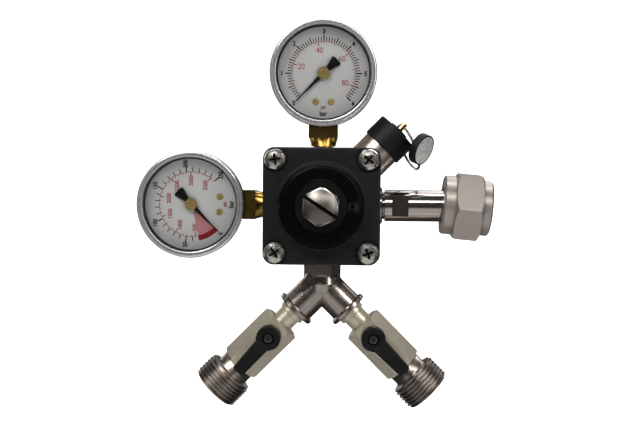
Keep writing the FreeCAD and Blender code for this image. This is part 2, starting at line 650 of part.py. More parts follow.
    b = gb("pointer")
    n0, n1 = D.needle_low, D.needle_low + D.needle_thick
    L, T = D.needle_long, D.needle_tail
    ang = math.radians(225)
    c, s_ = round(math.cos(ang), 9), round(math.sin(ang), 9)

    def turned(pts):
        return [(x * c - y * s_, x * s_ + y * c) for x, y in [(E.of(px_), E.of(py_)) for px_, py_ in pts]]
    pad(b, lambda sk: outline(sk, turned([(L, -0.12), (L, 0.12), (9.0, 0.62), (0, 1.15), (-5.2, 0.95), (-6.0, 2.4), (-T + 0.6, 2.75), (-T, 1.6),
                                         (-T, -1.6), (-T + 0.6, -2.75), (-6.0, -2.4), (-5.2, -0.95), (0, -1.15), (9.0, -0.62)])), n0, n1)
    pad(b, round_at(0, 0, 2.2), n0, n1)
    pocket(b, round_at(0, 0, D.shaft_rad + 0.01), n1, D.needle_thick)
    node(b)


gauge("low_", (D.centre_x, 0, D.gauge_at), FRONT)
gauge("high_", (D.centre_x - D.gauge_at, 0, 0), axes((0, 0, 1), (-1, 0, 0), (0, -1, 0)))

# ----------------------------------------------------------------- inlet
b = body("inlet_stem", rot=radial(0))
revolve(b, [(D.stem_bore, D.inlet_seat + 0.1), (D.inlet_thread, D.inlet_seat + 0.1), (D.inlet_thread, D.block_half + 0.02), (D.stem_rad + 1.3, D.block_half + 0.02),
            (D.stem_rad + 1.3, D.neck_in - 0.6), (D.stem_rad + 0.7, D.neck_in), (D.neck_rad, D.neck_in + 0.2), (D.neck_rad, D.neck_out - 0.2), (D.stem_rad, D.neck_out),
            (D.stem_rad, D.nipple_back - 1), (D.stem_rad, D.nipple_back), (D.nipple_rad, D.nipple_back), (D.nipple_rad, D.nipple_end - 0.5),
            (D.nipple_rad - 0.5, D.nipple_end), (D.filter_bore, D.nipple_end), (D.filter_bore, D.nipple_end - D.filter_deep),
            (D.stem_bore, D.nipple_end - D.filter_deep)])
for sgn in (1, -1):
    lo = D.flat_af / 2
    if sgn > 0:
        draw = rect(lo, D.flat_in, D.stem_rad + 2, D.flat_out)
    else:
        draw = rect(-D.stem_rad - 2, D.flat_in, -lo, D.flat_out)
    slice_both(b, draw, 22.0, "YZ_Plane")
node(b)

b = body("inlet_filter", rot=radial(0))
revolve(b, [(0, D.nipple_end - D.filter_deep + 0.05), (D.filter_bore - 0.03, D.nipple_end - D.filter_deep + 0.05),
            (D.filter_bore - 0.03, D.nipple_end - 1.2), (2.2, D.nipple_end - 0.8), (0, D.nipple_end - 0.8)])
node(b)

droop = math.radians(DIMS["nut_droop"])
NUT_ROT = axes((math.sin(droop), 0, math.cos(droop)), (0, -1, 0), (math.cos(droop), 0, -math.sin(droop)))
PIVOT = (D.centre_x + D.nut_pivot, 0, 0)
b = body("inlet_washer", base=PIVOT, rot=NUT_ROT)
revolve(b, [(D.washer_hole, D.washer_at), (D.washer_rad, D.washer_at), (D.washer_rad, D.washer_at + D.washer_thick), (D.washer_hole, D.washer_at + D.washer_thick)])
node(b)

b = body("inlet_nut", base=PIVOT, rot=NUT_ROT)
turn = 90 + DIMS["nut_turn"]
pad(b, hexagon(D.nut_af, turn), D.nut_hex_a, D.nut_hex_b)
rn = D.nut_af / math.sqrt(3)
groove(b, [(D.nut_af / 2 - 0.5, D.nut_hex_a - 0.01), (rn + 1, D.nut_hex_a - 0.01), (rn + 1, D.nut_hex_a + 2.0)])
groove(b, [(D.nut_af / 2 - 0.5, D.nut_hex_b + 0.01), (rn + 1, D.nut_hex_b + 0.01), (rn + 1, D.nut_hex_b - 2.0)])
revolve(b, [(0, D.nut_start), (D.nut_collar - 0.7, D.nut_start), (D.nut_collar, D.nut_start + 0.7), (D.nut_collar, D.nut_hex_a + 0.5), (0, D.nut_hex_a + 0.5)])
revolve(b, [(0, D.nut_hex_b - 0.5), (D.nut_nose, D.nut_hex_b - 0.5), (D.nut_nose, D.nut_end - 0.9), (D.nut_nose - 0.9, D.nut_end), (0, D.nut_end)])
groove(b, [(0, D.nut_start - 1), (D.nut_hole + 0.6, D.nut_start - 0.01), (D.nut_hole, D.nut_start + 0.6), (D.nut_hole, D.nut_back), (D.nut_bore + 0.4, D.nut_back),
           (D.nut_bore + 0.4, D.nut_thread_in), (D.nut_bore, D.nut_thread_in + 0.4), (D.nut_bore, D.nut_end - 0.9), (D.nut_bore + 0.9, D.nut_end + 0.01), (0, D.nut_end + 1)])
node(b)

# ---------------------------------------------------------- relief valve
REL = radial(45)
b = body("relief_body", rot=REL)
revolve(b, [(D.rel_pass, D.relief_in + 0.1), (D.relief_thread, D.relief_in + 0.1), (D.relief_thread, D.relief_seat), (D.rel_rad - 0.4, D.relief_seat),
            (D.rel_rad, D.relief_seat + 0.4), (D.rel_rad, D.rel_top), (D.rel_bore, D.rel_top), (D.rel_bore, D.rel_floor), (D.rel_pass, D.rel_floor)])
node(b)

b = body("relief_cap", rot=REL)
revolve(b, [(D.rel_rad + 0.05, D.cap_low), (D.cap_rad - 0.3, D.cap_low), (D.cap_rad, D.cap_low + 0.4), (D.cap_rad, D.cap_top - 0.5), (D.cap_rad - 0.5, D.cap_top),
            (D.cap_boss, D.cap_top), (D.cap_boss, D.cap_boss_top), (D.rod_rad + 0.06, D.cap_boss_top), (D.rod_rad + 0.06, D.cap_in), (D.rel_rad + 0.05, D.cap_in)])
node(b)

b = body("relief_stem", rot=REL)
revolve(b, [(0, D.disc_low), (D.disc_rad, D.disc_low), (D.disc_rad, D.disc_top), (2.6, D.disc_top), (2.6, D.disc_top + 1.2), (D.rod_rad, D.disc_top + 1.2),
            (D.rod_rad, D.rod_top - 0.3), (D.rod_rad - 0.3, D.rod_top), (0, D.rod_top)])
GAM = 30.0
# across the rod, turned about its axis: the ring's own direction through it
r2 = math.sqrt(0.5)
dv, tv = V(r2, 0, r2), V(r2, 0, -r2)
gam = math.radians(GAM)
av = V(0, -1, 0) * math.cos(gam) + tv * math.sin(gam)
bv = av.cross(dv)
if bv.z > 0:
    bv = bv * -1
psi = math.radians(-25.0)
ev = bv * math.cos(psi) + dv * math.sin(psi)
# the hole's direction in the rod's own frame: local y is -Y, local x is -t
slot = sketch(b, "XZ_Plane", 0, 0)
circle(slot, 0, D.rod_hole, D.ring_hole)
doc.recompute()
slot.AttachmentOffset = FreeCAD.Placement(V(0, 0, 0), Rot(V(0, 1, 0), GAM))
feature(b, "Pocket", slot, False, SideType="Symmetric", Length=12.0)
node(b)

node(coil("relief_spring", D.spring3_rad, D.spring3_wire, D.disc_top + 0.05, D.cap_in - 0.05, 5.5, CENTRE, REL))

# pull ring: through the rod's hole, hanging against the cap
eye = dv * DIMS["rod_hole"]
centre = eye + ev * DIMS["ring_rad"]
nv = ev.cross(av)
ringrot = Rot(ev, av, nv, "ZYX")
o = doc.addObject("Part::Torus", "pull_ring")
o.Radius1, o.Radius2 = DIMS["ring_rad"], DIMS["ring_wire"]
bind(o, "Radius1", D.ring_rad)
bind(o, "Radius2", D.ring_wire)
place(o, (D.centre_x + round(centre.x, 9), round(centre.y, 9), round(centre.z, 9)), ringrot)
node(o)

# seal tag: hangs by an eye on the ring's near side
phi = math.radians(105.0)
TP = centre + (ev * math.cos(phi) + av * math.sin(phi)) * DIMS["ring_rad"]
TT = (av * math.cos(phi) - ev * math.sin(phi)).normalize()
n_ = V(0.758, -0.53, -0.379).normalize()
# x: from the tag towards its eye, y: across, z: the face's outward normal
side = TT - n_ * TT.dot(n_)
side.normalize()
up = n_.cross(side)
if up.z < 0:
    up = up * -1
side = up.cross(n_)
tagrot = Rot(up, side, n_, "ZYX")
TC = V(-20.1 - DIMS["centre_x"], -12.8, 26.45) - n_ * DIMS["tag_thick"]
b = body("seal_tag", base=(D.centre_x + round(TC.x, 9), round(TC.y, 9), round(TC.z, 9)), rot=tagrot)
pad(b, round_at(0, 0, D.tag_rad), 0, D.tag_thick)
dress(b, "Fillet", 0.5, ring_edge(D.tag_rad, 0))
pocket(b, round_at(0, 0, D.tag_face_rad + 0.02), D.tag_thick, D.tag_face_thick)
loc = b.Placement.inverse().multVec(TP + V(DIMS["centre_x"], 0, 0))
dirl = tagrot.inverted().multVec(TT)
# the eye: a short bored bush round the wire, joined to the tag's back
bush = Part.makeCylinder(1.9, 2.2, loc - dirl * 1.1, dirl)
web = Part.makeBox(2.6, 3.0, -loc.z + 0.3, V(loc.x - 1.3, loc.y - 1.0, loc.z))
print("eye in the tag's frame", loc)
bore = Part.makeCylinder(0.95, 8, loc - dirl * 4, dirl)
hold_ = doc.addObject("Part::Feature", "tag_eye")
hold_.Shape = bush.fuse(web).cut(bore).removeSplitter()
place(hold_, (D.centre_x + round(TC.x, 9), round(TC.y, 9), round(TC.z, 9)), tagrot)
borer = doc.addObject("Part::Feature", "tag_eye_bore")
borer.Shape = bore
place(borer, (D.centre_x + round(TC.x, 9), round(TC.y, 9), round(TC.z, 9)), tagrot)
b.Label = "tag_disc"
u = union("tag_join", [b, hold_])
o = cut("seal_tag", u, borer)
node(o, "seal_tag")

b = body("seal_face", base=(D.centre_x + round(TC.x, 9), round(TC.y, 9), round(TC.z, 9)), rot=tagrot)
pad(b, round_at(0, 0, D.tag_face_rad), D.tag_thick - D.tag_face_thick + 0.01, D.tag_thick)
node(b)

# -------------------------------------------------------------- Y fitting
b = body("y_fitting", rot=FRONT)
# local x right, local y up, local z towards the viewer
pad(b, hexagon(D.y_hex, 0.0), -D.y_hex_top, -D.y_hex_low, plane="XZ_Plane")
rh = D.y_hex / math.sqrt(3)
sk = outline(sketch(b, "XY_Plane", 0, 180), [(0, D.outlet_seat + 0.1), (D.outlet_thread, D.outlet_seat + 0.1), (D.outlet_thread, -D.y_hex_top + 0.1), (0, -D.y_hex_top + 0.1)])
feature(b, "Revolution", sk, True, ReferenceAxis=(sk, ["V_Axis"]), Angle=360.0)


def arm(pts, kind, turn):
    """a turned shape along one branch, its origin at the junction"""
    sk = b.newObject("Sketcher::SketchObject", "arm")
    origin = [o_ for o_ in b.Origin.OriginFeatures if o_.Role == "XY_Plane"][0]
    sk.AttachmentSupport = [(origin, "")]
    sk.MapMode = "FlatFace"
    sk.AttachmentOffset = FreeCAD.Placement(V(0, DIMS["y_at"], 0), Rot(V(0, 0, 1), turn))
    sk.setExpression("AttachmentOffset.Base.y", "dims.y_at")
    outline(sk, pts)
    feature(b, kind, sk, kind == "Revolution", ReferenceAxis=(sk, ["V_Axis"]), Angle=360.0)


q8 = 0.38268343
arm([(0, -D.y_ball), (D.y_ball * q8, -D.y_ball * 0.92387953), (D.y_ball * r2, -D.y_ball * r2), (D.y_ball * 0.92387953, -D.y_ball * q8), (D.y_ball, 0),
     (D.y_ball * 0.92387953, D.y_ball * q8), (D.y_ball * r2, D.y_ball * r2), (D.y_ball * q8, D.y_ball * 0.92387953), (0, D.y_ball)], "Revolution", 0)
for turn in (135.0, -135.0):
    arm([(0, 2), (D.y_arm, 2), (D.y_arm, D.y_collar_in - 0.5), (D.y_collar - 0.35, D.y_collar_in), (D.y_collar, D.y_collar_in + 0.35),
         (D.y_collar, D.y_arm_end - 0.35), (D.y_collar - 0.35, D.y_arm_end), (0, D.y_arm_end)], "Revolution", turn)
for turn in (135.0, -135.0):
    arm([(0, 0.5), (D.y_bore, 0.5), (D.y_bore, D.y_socket_in), (D.y_socket, D.y_socket_in), (D.y_socket, D.y_arm_end + 1), (0, D.y_arm_end + 1)], "Groove", turn)
arm([(0, -1), (D.y_bore, -1), (D.y_bore, 30), (0, 30)], "Groove", 0.0)
node(b)


# ------------------------------------------------------------ ball valves
seats = []


def valve(tag, degrees, tilt):
    base = (D.centre_x, 0, D.y_at)
    rot = radial(degrees)

    def vb(name):
        return body(tag + name, base=base, rot=rot)

    # body: threaded end, neck, hexagon with bevelled ends, gland boss
    b = vb("valve_body")
    revolve(b, [(0, D.vb_in), (D.vb_thread - 0.6, D.vb_in), (D.vb_thread, D.vb_in + 0.6), (D.vb_thread, D.vb_neck_a), (D.vb_neck, D.vb_neck_a + 0.5),
                (D.vb_neck, D.vb_hex_a + 1), (0, D.vb_hex_a + 1)])
    pad(b, hexagon(D.vb_af, 0.0), D.vb_hex_a, D.vb_hex_b)
    rv = D.vb_af / math.sqrt(3)
    groove(b, [(D.vb_af / 2 - 0.35, D.vb_hex_a - 0.01), (rv + 1, D.vb_hex_a - 0.01), (rv + 1, D.vb_hex_a + 1.6)])
    groove(b, [(D.vb_af / 2 - 0.35, D.vb_hex_b + 0.01), (rv + 1, D.vb_hex_b + 0.01), (rv + 1, D.vb_hex_b - 1.6)])
    # XZ plane's normal is -y, so towards the viewer is its back
    pad_sk = circle(sketch(b, "XZ_Plane", -D.gland_top), 0, D.ball_at, D.gland_rad)
    feature(b, "Pad", pad_sk, True, Length=D.gland_top - 6.0)
    groove(b, [(0, D.vb_in - 1), (D.vb_pass, D.vb_in - 1), (D.vb_pass, D.vb_seat), (D.vb_bore, D.vb_seat), (D.vb_bore, D.vb_hex_b + 1), (0, D.vb_hex_b + 1)])
    hole_sk = circle(sketch(b, "XZ_Plane", -D.gland_top - 1), 0, D.ball_at, D.stem_round + 0.05)
    feature(b, "Pocket", hole_sk, False, Length=D.gland_top + 1, Reversed=True)
    node(b)

    b = vb("outlet_adapter")
    revolve(b, [(D.out_bore, D.out_insert_in), (D.out_insert - 0.4, D.out_insert_in), (D.out_insert, D.out_insert_in + 0.4), (D.out_insert, D.vb_hex_b + 0.02),
                (D.out_neck - 0.4, D.vb_hex_b + 0.02), (D.out_neck, D.vb_hex_b + 0.5), (D.out_neck, D.out_neck_end), (D.out_rad - 1.1, D.out_neck_end), (D.out_rad, D.out_neck_end + 1.1),
                (D.out_rad, D.out_end - 1.3), (D.out_rad - 1.3, D.out_end), (D.out_bore_end, D.out_end), (D.out_bore, D.out_end - 4.0)])
    node(b)

    # ball: sphere with its waterway and the slot for the stem's tongue
    ball = doc.addObject("Part::Sphere", tag + "ball_sphere")
    ball.Radius = DIMS["ball_rad"]
    bind(ball, "Radius", D.ball_rad)
    place(ball, (0, 0, D.ball_at))
    way = prim("Cylinder", tag + "ball_way", (0, 0, D.ball_at - 10), Radius=4.0, Height=20.0)
    slot_ = prim("Box", tag + "ball_slot", (-D.tongue / 2 - 0.1, D.ball_rad - 1.9, D.ball_at - 8), Length=D.tongue + 0.2, Width=4.0, Height=16.0)
    o = cut(tag + "ball", ball, union(tag + "ball_cuts", [way, slot_]))
    place(o, base, rot)
    node(o, tag + "ball")

    # seats: a ring each side of the ball, coned to meet it
    for k in (-1, 1):
        s = body("%sseat_%d" % (tag, k + 2), base=base, rot=rot)
        c0 = D.ball_at
        pts = [(4.05, c0 + 6.58 * k), (D.vb_bore - 0.05, c0 + 6.58 * k), (D.vb_bore - 0.05, c0 + 4.25 * k), (5.1, c0 + 4.25 * k), (4.05, c0 + 5.28 * k)]
        revolve(s, pts)
        seats.append(s)

    # stem, lever and its screw turn together about local y through the ball
    stem_frame = rot.multiply(Rot(V(1, 0, 0), -90))
    # local z now points at the viewer: x stays, old z becomes -y
    at = (D.centre_x + D.ball_at * round(math.cos(math.radians(degrees)), 9), 0, D.y_at + D.ball_at * round(math.sin(math.radians(degrees)), 9))
    b = body(tag + "valve_stem", base=at, rot=stem_frame)
    revolve(b, [(0, D.ball_rad + 0.1), (D.stem_round, D.ball_rad + 0.1), (D.stem_round, D.lever_low - 0.02), (0, D.lever_low - 0.02)])
    t = D.tongue / 2
    pad(b, rect(-t, -2.4, t, 2.4), D.ball_rad - 1.75, D.ball_rad + 0.2)
    q = D.square_half
    pad(b, rect(-q, -q, q, q), D.lever_low - 0.1, D.lever_low + 3.6)
    pocket(b, round_at(0, 0, 1.3), D.lever_low + 3.6, 6.5)
    node(b)

    lever_frame = stem_frame.multiply(Rot(V(0, 0, 1), tilt))
    b = body(tag + "lever", base=at, rot=lever_frame)
    pad(b, round_at(0, 0, D.lever_hub), D.lever_low, D.lever_top)
    L = D.arm_long
    w1, w0, c1 = D.arm_tip_wide, D.arm_wide, 0.6
    pad(b, lambda sk: outline(sk, [(-w0, 0), (-w1, -L + c1), (-w1 + c1, -L), (w1 - c1, -L), (w1, -L + c1), (w0, 0)]), D.arm_low, D.lever_top)
    dress(b, "Fillet", 0.5, lambda e: abs(e.BoundBox.ZMin - num(D.lever_top)) < 1e-3 and abs(e.BoundBox.ZMax - num(D.lever_top)) < 1e-3)
    for a0 in (62, 118, 152, 208, 28, -28):
        m = math.radians(a0)
        pocket(b, round_at(D.lever_hub * round(1.045 * math.cos(m), 6), D.lever_hub * round(1.045 * math.sin(m), 6), 0.62), D.lever_top, 3.2)
    qq = q + 0.06
    pocket(b, rect(-qq, -qq, qq, qq), D.lever_low, 3.9, reversed=True, turn=-tilt)
    pocket(b, round_at(0, 0, 1.65), D.lever_top, D.lever_top - D.lever_low)
    pocket(b, round_at(0, 0, D.screw_head + 0.15), D.lever_top, 2.3)
    node(b)

    b = body(tag + "lever_screw", base=at, rot=lever_frame)
    s0 = D.lever_top - 2.3
    revolve(b, [(0, D.lever_low - 1.2), (1.25, D.lever_low - 1.2), (1.25, s0 + 0.02), (D.screw_head, s0 + 0.02), (D.screw_head, s0 + D.screw_high * 0.55),
                (D.screw_head - 0.6, s0 + D.screw_high * 0.9), (D.screw_head - 1.4, s0 + D.screw_high), (0, s0 + D.screw_high)])
    for across in (0, 1):
        box = rect(-1.5, -0.3, 1.5, 0.3) if across else rect(-0.3, -1.5, 0.3, 1.5)
        pocket(b, box, s0 + D.screw_high, 0.9, turn=25.0)
    node(b)


valve("left_", 225.0, DIMS["lever_tilt"])
valve("right_", 315.0, 0.0)
node(group("ball_seats", seats))

# ---------------------------------------------------------------- output
doc.recompute()
bad = []
for o in doc.Objects:
    state = [str(s) for s in o.State]
    if "Invalid" in state or "Error" in state:
        bad.append("%s %s" % (o.Name, state))
for o in NODES:
    if o.Shape.isNull() or not o.Shape.isValid():
        bad.append(o.Label + " has no valid shape")
if bad:
    raise SystemExit("not built: " + "; ".join(bad))

os.makedirs("parts", exist_ok=True)
for o in NODES:
    o.Shape.exportStep("parts/%s.step" % o.Label)
    bb = o.Shape.BoundBox
    print("%-22s solids %d vol %9.1f  x %.1f..%.1f y %.1f..%.1f z %.1f..%.1f" % (
        o.Label, len(o.Shape.Solids), o.Shape.Volume, bb.XMin, bb.XMax, bb.YMin, bb.YMax, bb.ZMin, bb.ZMax))
print("ev", ev, "eye", TP + V(DIMS["centre_x"], 0, 0), "along", TT, "ring centre", centre + V(DIMS["centre_x"], 0, 0), "hole", eye, "axis", av)
print(len(NODES), "nodes")
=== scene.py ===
import math

import bpy
from mathutils import Matrix, Vector


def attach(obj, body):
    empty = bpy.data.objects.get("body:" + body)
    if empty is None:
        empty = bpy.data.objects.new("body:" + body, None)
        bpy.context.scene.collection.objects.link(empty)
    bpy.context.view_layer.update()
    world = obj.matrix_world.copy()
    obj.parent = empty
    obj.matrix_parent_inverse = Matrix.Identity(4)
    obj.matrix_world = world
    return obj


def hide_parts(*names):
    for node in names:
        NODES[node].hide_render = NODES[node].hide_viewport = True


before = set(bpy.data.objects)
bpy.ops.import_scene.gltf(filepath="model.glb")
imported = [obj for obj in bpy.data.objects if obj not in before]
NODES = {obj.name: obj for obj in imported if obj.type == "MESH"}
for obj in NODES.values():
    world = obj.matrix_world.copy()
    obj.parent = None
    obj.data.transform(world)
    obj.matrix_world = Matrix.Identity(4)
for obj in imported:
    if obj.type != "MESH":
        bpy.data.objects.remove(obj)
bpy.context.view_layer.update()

MM = 0.001


# ------------------------------------------------------------ materials
class Graph:
    """A node tree with short names for the nodes used here."""

    def __init__(self, name):
        self.m = bpy.data.materials.new(name)
        self.m.use_nodes = True
        self.t = self.m.node_tree
        self.shader = next(n for n in self.t.nodes if n.type == "BSDF_PRINCIPLED")
        self.where = self.add("ShaderNodeTexCoord").outputs["Object"]

    def add(self, kind, **props):
        n = self.t.nodes.new(kind)
        for k, v in props.items():
            setattr(n, k, v)
        return n

    def link(self, a, b):
        self.t.links.new(a, b)

    def noise(self, scale, detail=3.0, rough=0.55, at=None, distortion=0.0):
        n = self.add("ShaderNodeTexNoise")
        n.inputs["Scale"].default_value = scale
        n.inputs["Detail"].default_value = detail
        n.inputs["Roughness"].default_value = rough
        n.inputs["Distortion"].default_value = distortion
        self.link(at or self.where, n.inputs["Vector"])
        return n.outputs["Fac"]

    def lines(self, axis, scale, detail=4.0):
        """turning marks: noise that changes only along one axis"""
        d = self.add("ShaderNodeVectorMath", operation="DOT_PRODUCT")
        self.link(self.where, d.inputs[0])
        d.inputs[1].default_value = axis
        n = self.add("ShaderNodeTexNoise", noise_dimensions="1D")
        n.inputs["Scale"].default_value = scale
        n.inputs["Detail"].default_value = detail
        self.link(d.outputs["Value"], n.inputs["W"])
        return n.outputs["Fac"]

    def ranged(self, value, low, high, a, b):
        n = self.add("ShaderNodeMapRange")
        n.inputs["From Min"].default_value = low
        n.inputs["From Max"].default_value = high
        n.inputs["To Min"].default_value = a
        n.inputs["To Max"].default_value = b
        self.link(value, n.inputs["Value"])
        return n.outputs["Result"]

    def colours(self, fac, *stops):
        n = self.add("ShaderNodeValToRGB")
        ramp = n.color_ramp
        while len(ramp.elements) < len(stops):
            ramp.elements.new(0.5)
        for e, (p, c) in zip(ramp.elements, stops):
            e.position = p
            e.color = (*c, 1.0)
        self.link(fac, n.inputs["Fac"])
        return n.outputs["Color"]

    def mixed(self, fac, a, b):
        n = self.add("ShaderNodeMix", data_type="RGBA")
        self.link(fac, n.inputs[0])
        for s, v in ((n.inputs[6], a), (n.inputs[7], b)):
            if isinstance(v, tuple):
                s.default_value = (*v, 1.0)
            else:
                self.link(v, s)
        return n.outputs[2]

    def math(self, op, a, b):
        n = self.add("ShaderNodeMath", operation=op)
        for s, v in ((n.inputs[0], a), (n.inputs[1], b)):
            if isinstance(v, (int, float)):
                s.default_value = v
            else:
                self.link(v, s)
        return n.outputs[0]

    def bump(self, height, strength, distance, under=None):
        n = self.add("ShaderNodeBump")
        n.inputs["Strength"].default_value = strength
        n.inputs["Distance"].default_value = distance
        self.link(height, n.inputs["Height"])
        if under is not None:
            self.link(under, n.inputs["Normal"])
        return n.outputs["Normal"]

    def hollow(self, reach=0.0016, keep=0.25):
        """painted shade, with some grime: colour darkened in recesses, roots and slots by ambient occlusion"""
        n = self.add("ShaderNodeAmbientOcclusion", samples=6)
        n.inputs["Distance"].default_value = reach
        return self.ranged(n.outputs["AO"], 0.25, 0.85, keep, 1.0)

    def times(self, colour, value):
        n = self.add("ShaderNodeVectorMath", operation="SCALE")
        self.link(colour, n.inputs[0])
        self.link(value, n.inputs["Scale"])
        return n.outputs["Vector"]

    def edge(self, low=0.52, high=0.60):
        """edges where the surface turns outward, lightened for rubbed wear and a painted highlight"""
        g = self.add("ShaderNodeNewGeometry").outputs["Pointiness"]
        return self.ranged(g, low, high, 0.0, 1.0)

    def to(self, name, value):
        s = self.shader.inputs[name]
        if isinstance(value, (int, float)):
            s.default_value = value
        elif isinstance(value, tuple):
            s.default_value = (*value, 1.0) if len(value) == 3 else value
        else:
            self.link(value, s)
        return self


def shade(c, k):
    return tuple(min(1.0, v * k) for v in c)


def metal(name, colour, rough, spread=0.06, tint=0.06, grain=0.25, axis=None, marks=0.35, patch=260.0, stain=None, keep=0.22, plating=1.0, recess=None, rim=None):
    """Plated or turned metal: slow blotches of tone, fine grain, and turning marks if it has an axis."""
    g = Graph(name)
    slow = g.noise(patch, 4.0, 0.6)
    base = g.colours(slow, (0.3, shade(colour, 1 - tint)), (0.7, shade(colour, 1 + tint * 0.5)))
    if stain:
        spots = g.ranged(g.noise(patch * 2.6, 6.0, 0.7, distortion=0.6), 0.58, 0.78, 0.0, 0.28)
        base = g.mixed(spots, base, stain)
    # painted shade and grime in recesses: the colour darkened by ambient occlusion
    base = g.times(base, g.hollow(0.0016, keep))
    if rim:
        # painted highlight: a pale line on the screw's bevel
        base = g.mixed(rim(g), base, (0.86, 0.83, 0.76))
    if recess:
        # painted shade: near-black inside the recess mask
        base = g.mixed(recess(g), base, (0.024, 0.021, 0.018))
    g.to("Base Color", base).to("Metallic", plating)
    fine = g.noise(2600.0, 3.0, 0.6)
    r = g.ranged(g.math("ADD", g.math("MULTIPLY", slow, 0.6), g.math("MULTIPLY", fine, 0.4)), 0.3, 0.7, rough - spread, rough + spread)
    g.to("Roughness", r)
    n = g.bump(fine, grain, 0.00003)
    n = g.bump(slow, 0.05, 0.0001, n)
    if axis:
        n = g.bump(g.lines(axis, 5200.0), marks, 0.00002, n)
    g.to("Normal", n)
    return g.m


def coat(name, colour, rough, grain, size=1500.0, light=None, spread=0.07, distance=0.00005, spec=0.5):
    """Paint, anodising or moulded plastic with its grain, and edges lightened as rubbed wear and a painted highlight.
    """
    g = Graph(name)
    slow = g.noise(180.0, 4.0, 0.6)
    base = g.colours(slow, (0.3, shade(colour, 0.82)), (0.72, shade(colour, 1.18)))
    if light:
        fleck = g.ranged(g.noise(700.0, 8.0, 0.75), 0.62, 0.78, 0.0, 0.35)
        # lighter flecks in the coat, and edges lightened as wear and painted highlight
        base = g.mixed(g.math("MULTIPLY", g.edge(0.54, 0.64), 0.5), g.mixed(fleck, base, shade(light, 0.5)), light)
    g.to("Base Color", base)
    fine = g.noise(size, 5.0, 0.65)
    g.to("Roughness", g.ranged(g.math("ADD", g.math("MULTIPLY", slow, 0.5), g.math("MULTIPLY", fine, 0.5)), 0.3, 0.7, rough - spread, rough + spread))
    g.to("Normal", g.bump(fine, grain, distance)).to("Specular IOR Level", spec)
    return g.m


def slot_of(g):
    """painted shade: the adjusting screw's slot coloured near-black"""
    d = g.add("ShaderNodeVectorMath", operation="DOT_PRODUCT")
    g.link(g.where, d.inputs[0])
    d.inputs[1].default_value = (0.544639, 0.0, 0.838671)
    off = g.math("ABSOLUTE", g.math("ADD", d.outputs["Value"], 0.0370355), 0.0)
    return g.ranged(off, 0.00078, 0.00086, 1.0, 0.0)


def rim_of(g):
    """painted highlight: a pale line standing in for light on the bevel just inside the adjusting screw's six flats"""
    far = None
    for deg in (-5.0, 55.0, 115.0):
        c, s = math.cos(math.radians(deg)), math.sin(math.radians(deg))
        d = g.add("ShaderNodeVectorMath", operation="DOT_PRODUCT")
        g.link(g.where, d.inputs[0])
        d.inputs[1].default_value = (c, 0.0, s)
        v = g.math("ABSOLUTE", g.math("ADD", d.outputs["Value"], 0.068 * c), 0.0)
        far = v if far is None else g.math("MAXIMUM", far, v)
    return g.ranged(far, HEX_HALF - 0.00055, HEX_HALF - 0.00040, 0.0, 1.0)


HEX_HALF = 0.008
BOLT_AT = 0.0215


def cross_of(g):
    """painted shade: the cross recesses of the bonnet's four screws coloured near-black"""
    whole = None
    for sx, sz, turn in ((-1, 1, 8), (1, 1, 52), (-1, -1, 31), (1, -1, 20)):
        c, s = math.cos(math.radians(turn)), math.sin(math.radians(turn))
        off = []
        for ux, uz in ((c, s), (-s, c)):
            d = g.add("ShaderNodeVectorMath", operation="DOT_PRODUCT")
            g.link(g.where, d.inputs[0])
            d.inputs[1].default_value = (ux, 0.0, uz)
            off.append(g.math("ABSOLUTE", g.math("SUBTRACT", d.outputs["Value"], (-0.068 + sx * BOLT_AT) * ux + sz * BOLT_AT * uz), 0.0))
        for v, w in (off, off[::-1]):
            arm = g.math("MULTIPLY", g.ranged(v, 0.00040, 0.00052, 1.0, 0.0), g.ranged(w, 0.00220, 0.00245, 1.0, 0.0))
            whole = arm if whole is None else g.math("MAXIMUM", whole, arm)
    return whole


AX_X, AX_Y, AX_Z = (1.0, 0.0, 0.0), (0.0, 1.0, 0.0), (0.0, 0.0, 1.0)
R2 = math.sqrt(0.5)
AX_NE, AX_SE, AX_SW = (R2, 0.0, R2), (R2, 0.0, -R2), (-R2, 0.0, -R2)
AX_NUT = (0.9961947, 0.0, -0.0871557)

NICKEL, WARM, BRASS = (0.58, 0.51, 0.46), (0.62, 0.565, 0.44), (0.60, 0.40, 0.11)
STAIN = (0.30, 0.26, 0.23)


def nickel(name, axis=None, rough=0.27):
    return metal(name, NICKEL, rough, 0.05, 0.07, 0.10, axis, 0.22, stain=STAIN)


body_metal = nickel("nickel_plain")
stem_metal = metal("nickel_stem", NICKEL, 0.14, 0.03, 0.03, 0.04, AX_X, 0.10)
nut_metal = metal("nickel_nut", (0.33, 0.29, 0.262), 0.36, 0.05, 0.05, 0.55, None, 0.0, patch=700.0, stain=(0.26, 0.225, 0.21), plating=0.75)
relief_metal = nickel("nickel_relief", AX_NE, 0.30)
y_metal = metal("nickel_y", (0.48, 0.42, 0.375), 0.24, 0.05, 0.07, 0.10, None, 0.22, stain=STAIN, keep=0.10)
thread_left = metal("nickel_left", (0.44, 0.375, 0.335), 0.30, 0.05, 0.07, 0.10, AX_SW, 0.22, stain=STAIN, keep=0.10)
thread_right = metal("nickel_right", (0.44, 0.375, 0.335), 0.30, 0.05, 0.07, 0.10, AX_SE, 0.22, stain=STAIN, keep=0.10)
valve_left = metal("nickel_warm_left", WARM, 0.36, 0.04, 0.04, 0.10, AX_SW, 0.12, plating=0.78)
valve_right = metal("nickel_warm_right", WARM, 0.36, 0.04, 0.04, 0.10, AX_SE, 0.12, plating=0.78)
brass_z = metal("brass_top", BRASS, 0.17, 0.05, 0.14, 0.12, AX_Z, 0.2, stain=(0.30, 0.19, 0.06))
brass_x = metal("brass_side", BRASS, 0.17, 0.05, 0.14, 0.12, AX_X, 0.2, stain=(0.30, 0.19, 0.06))
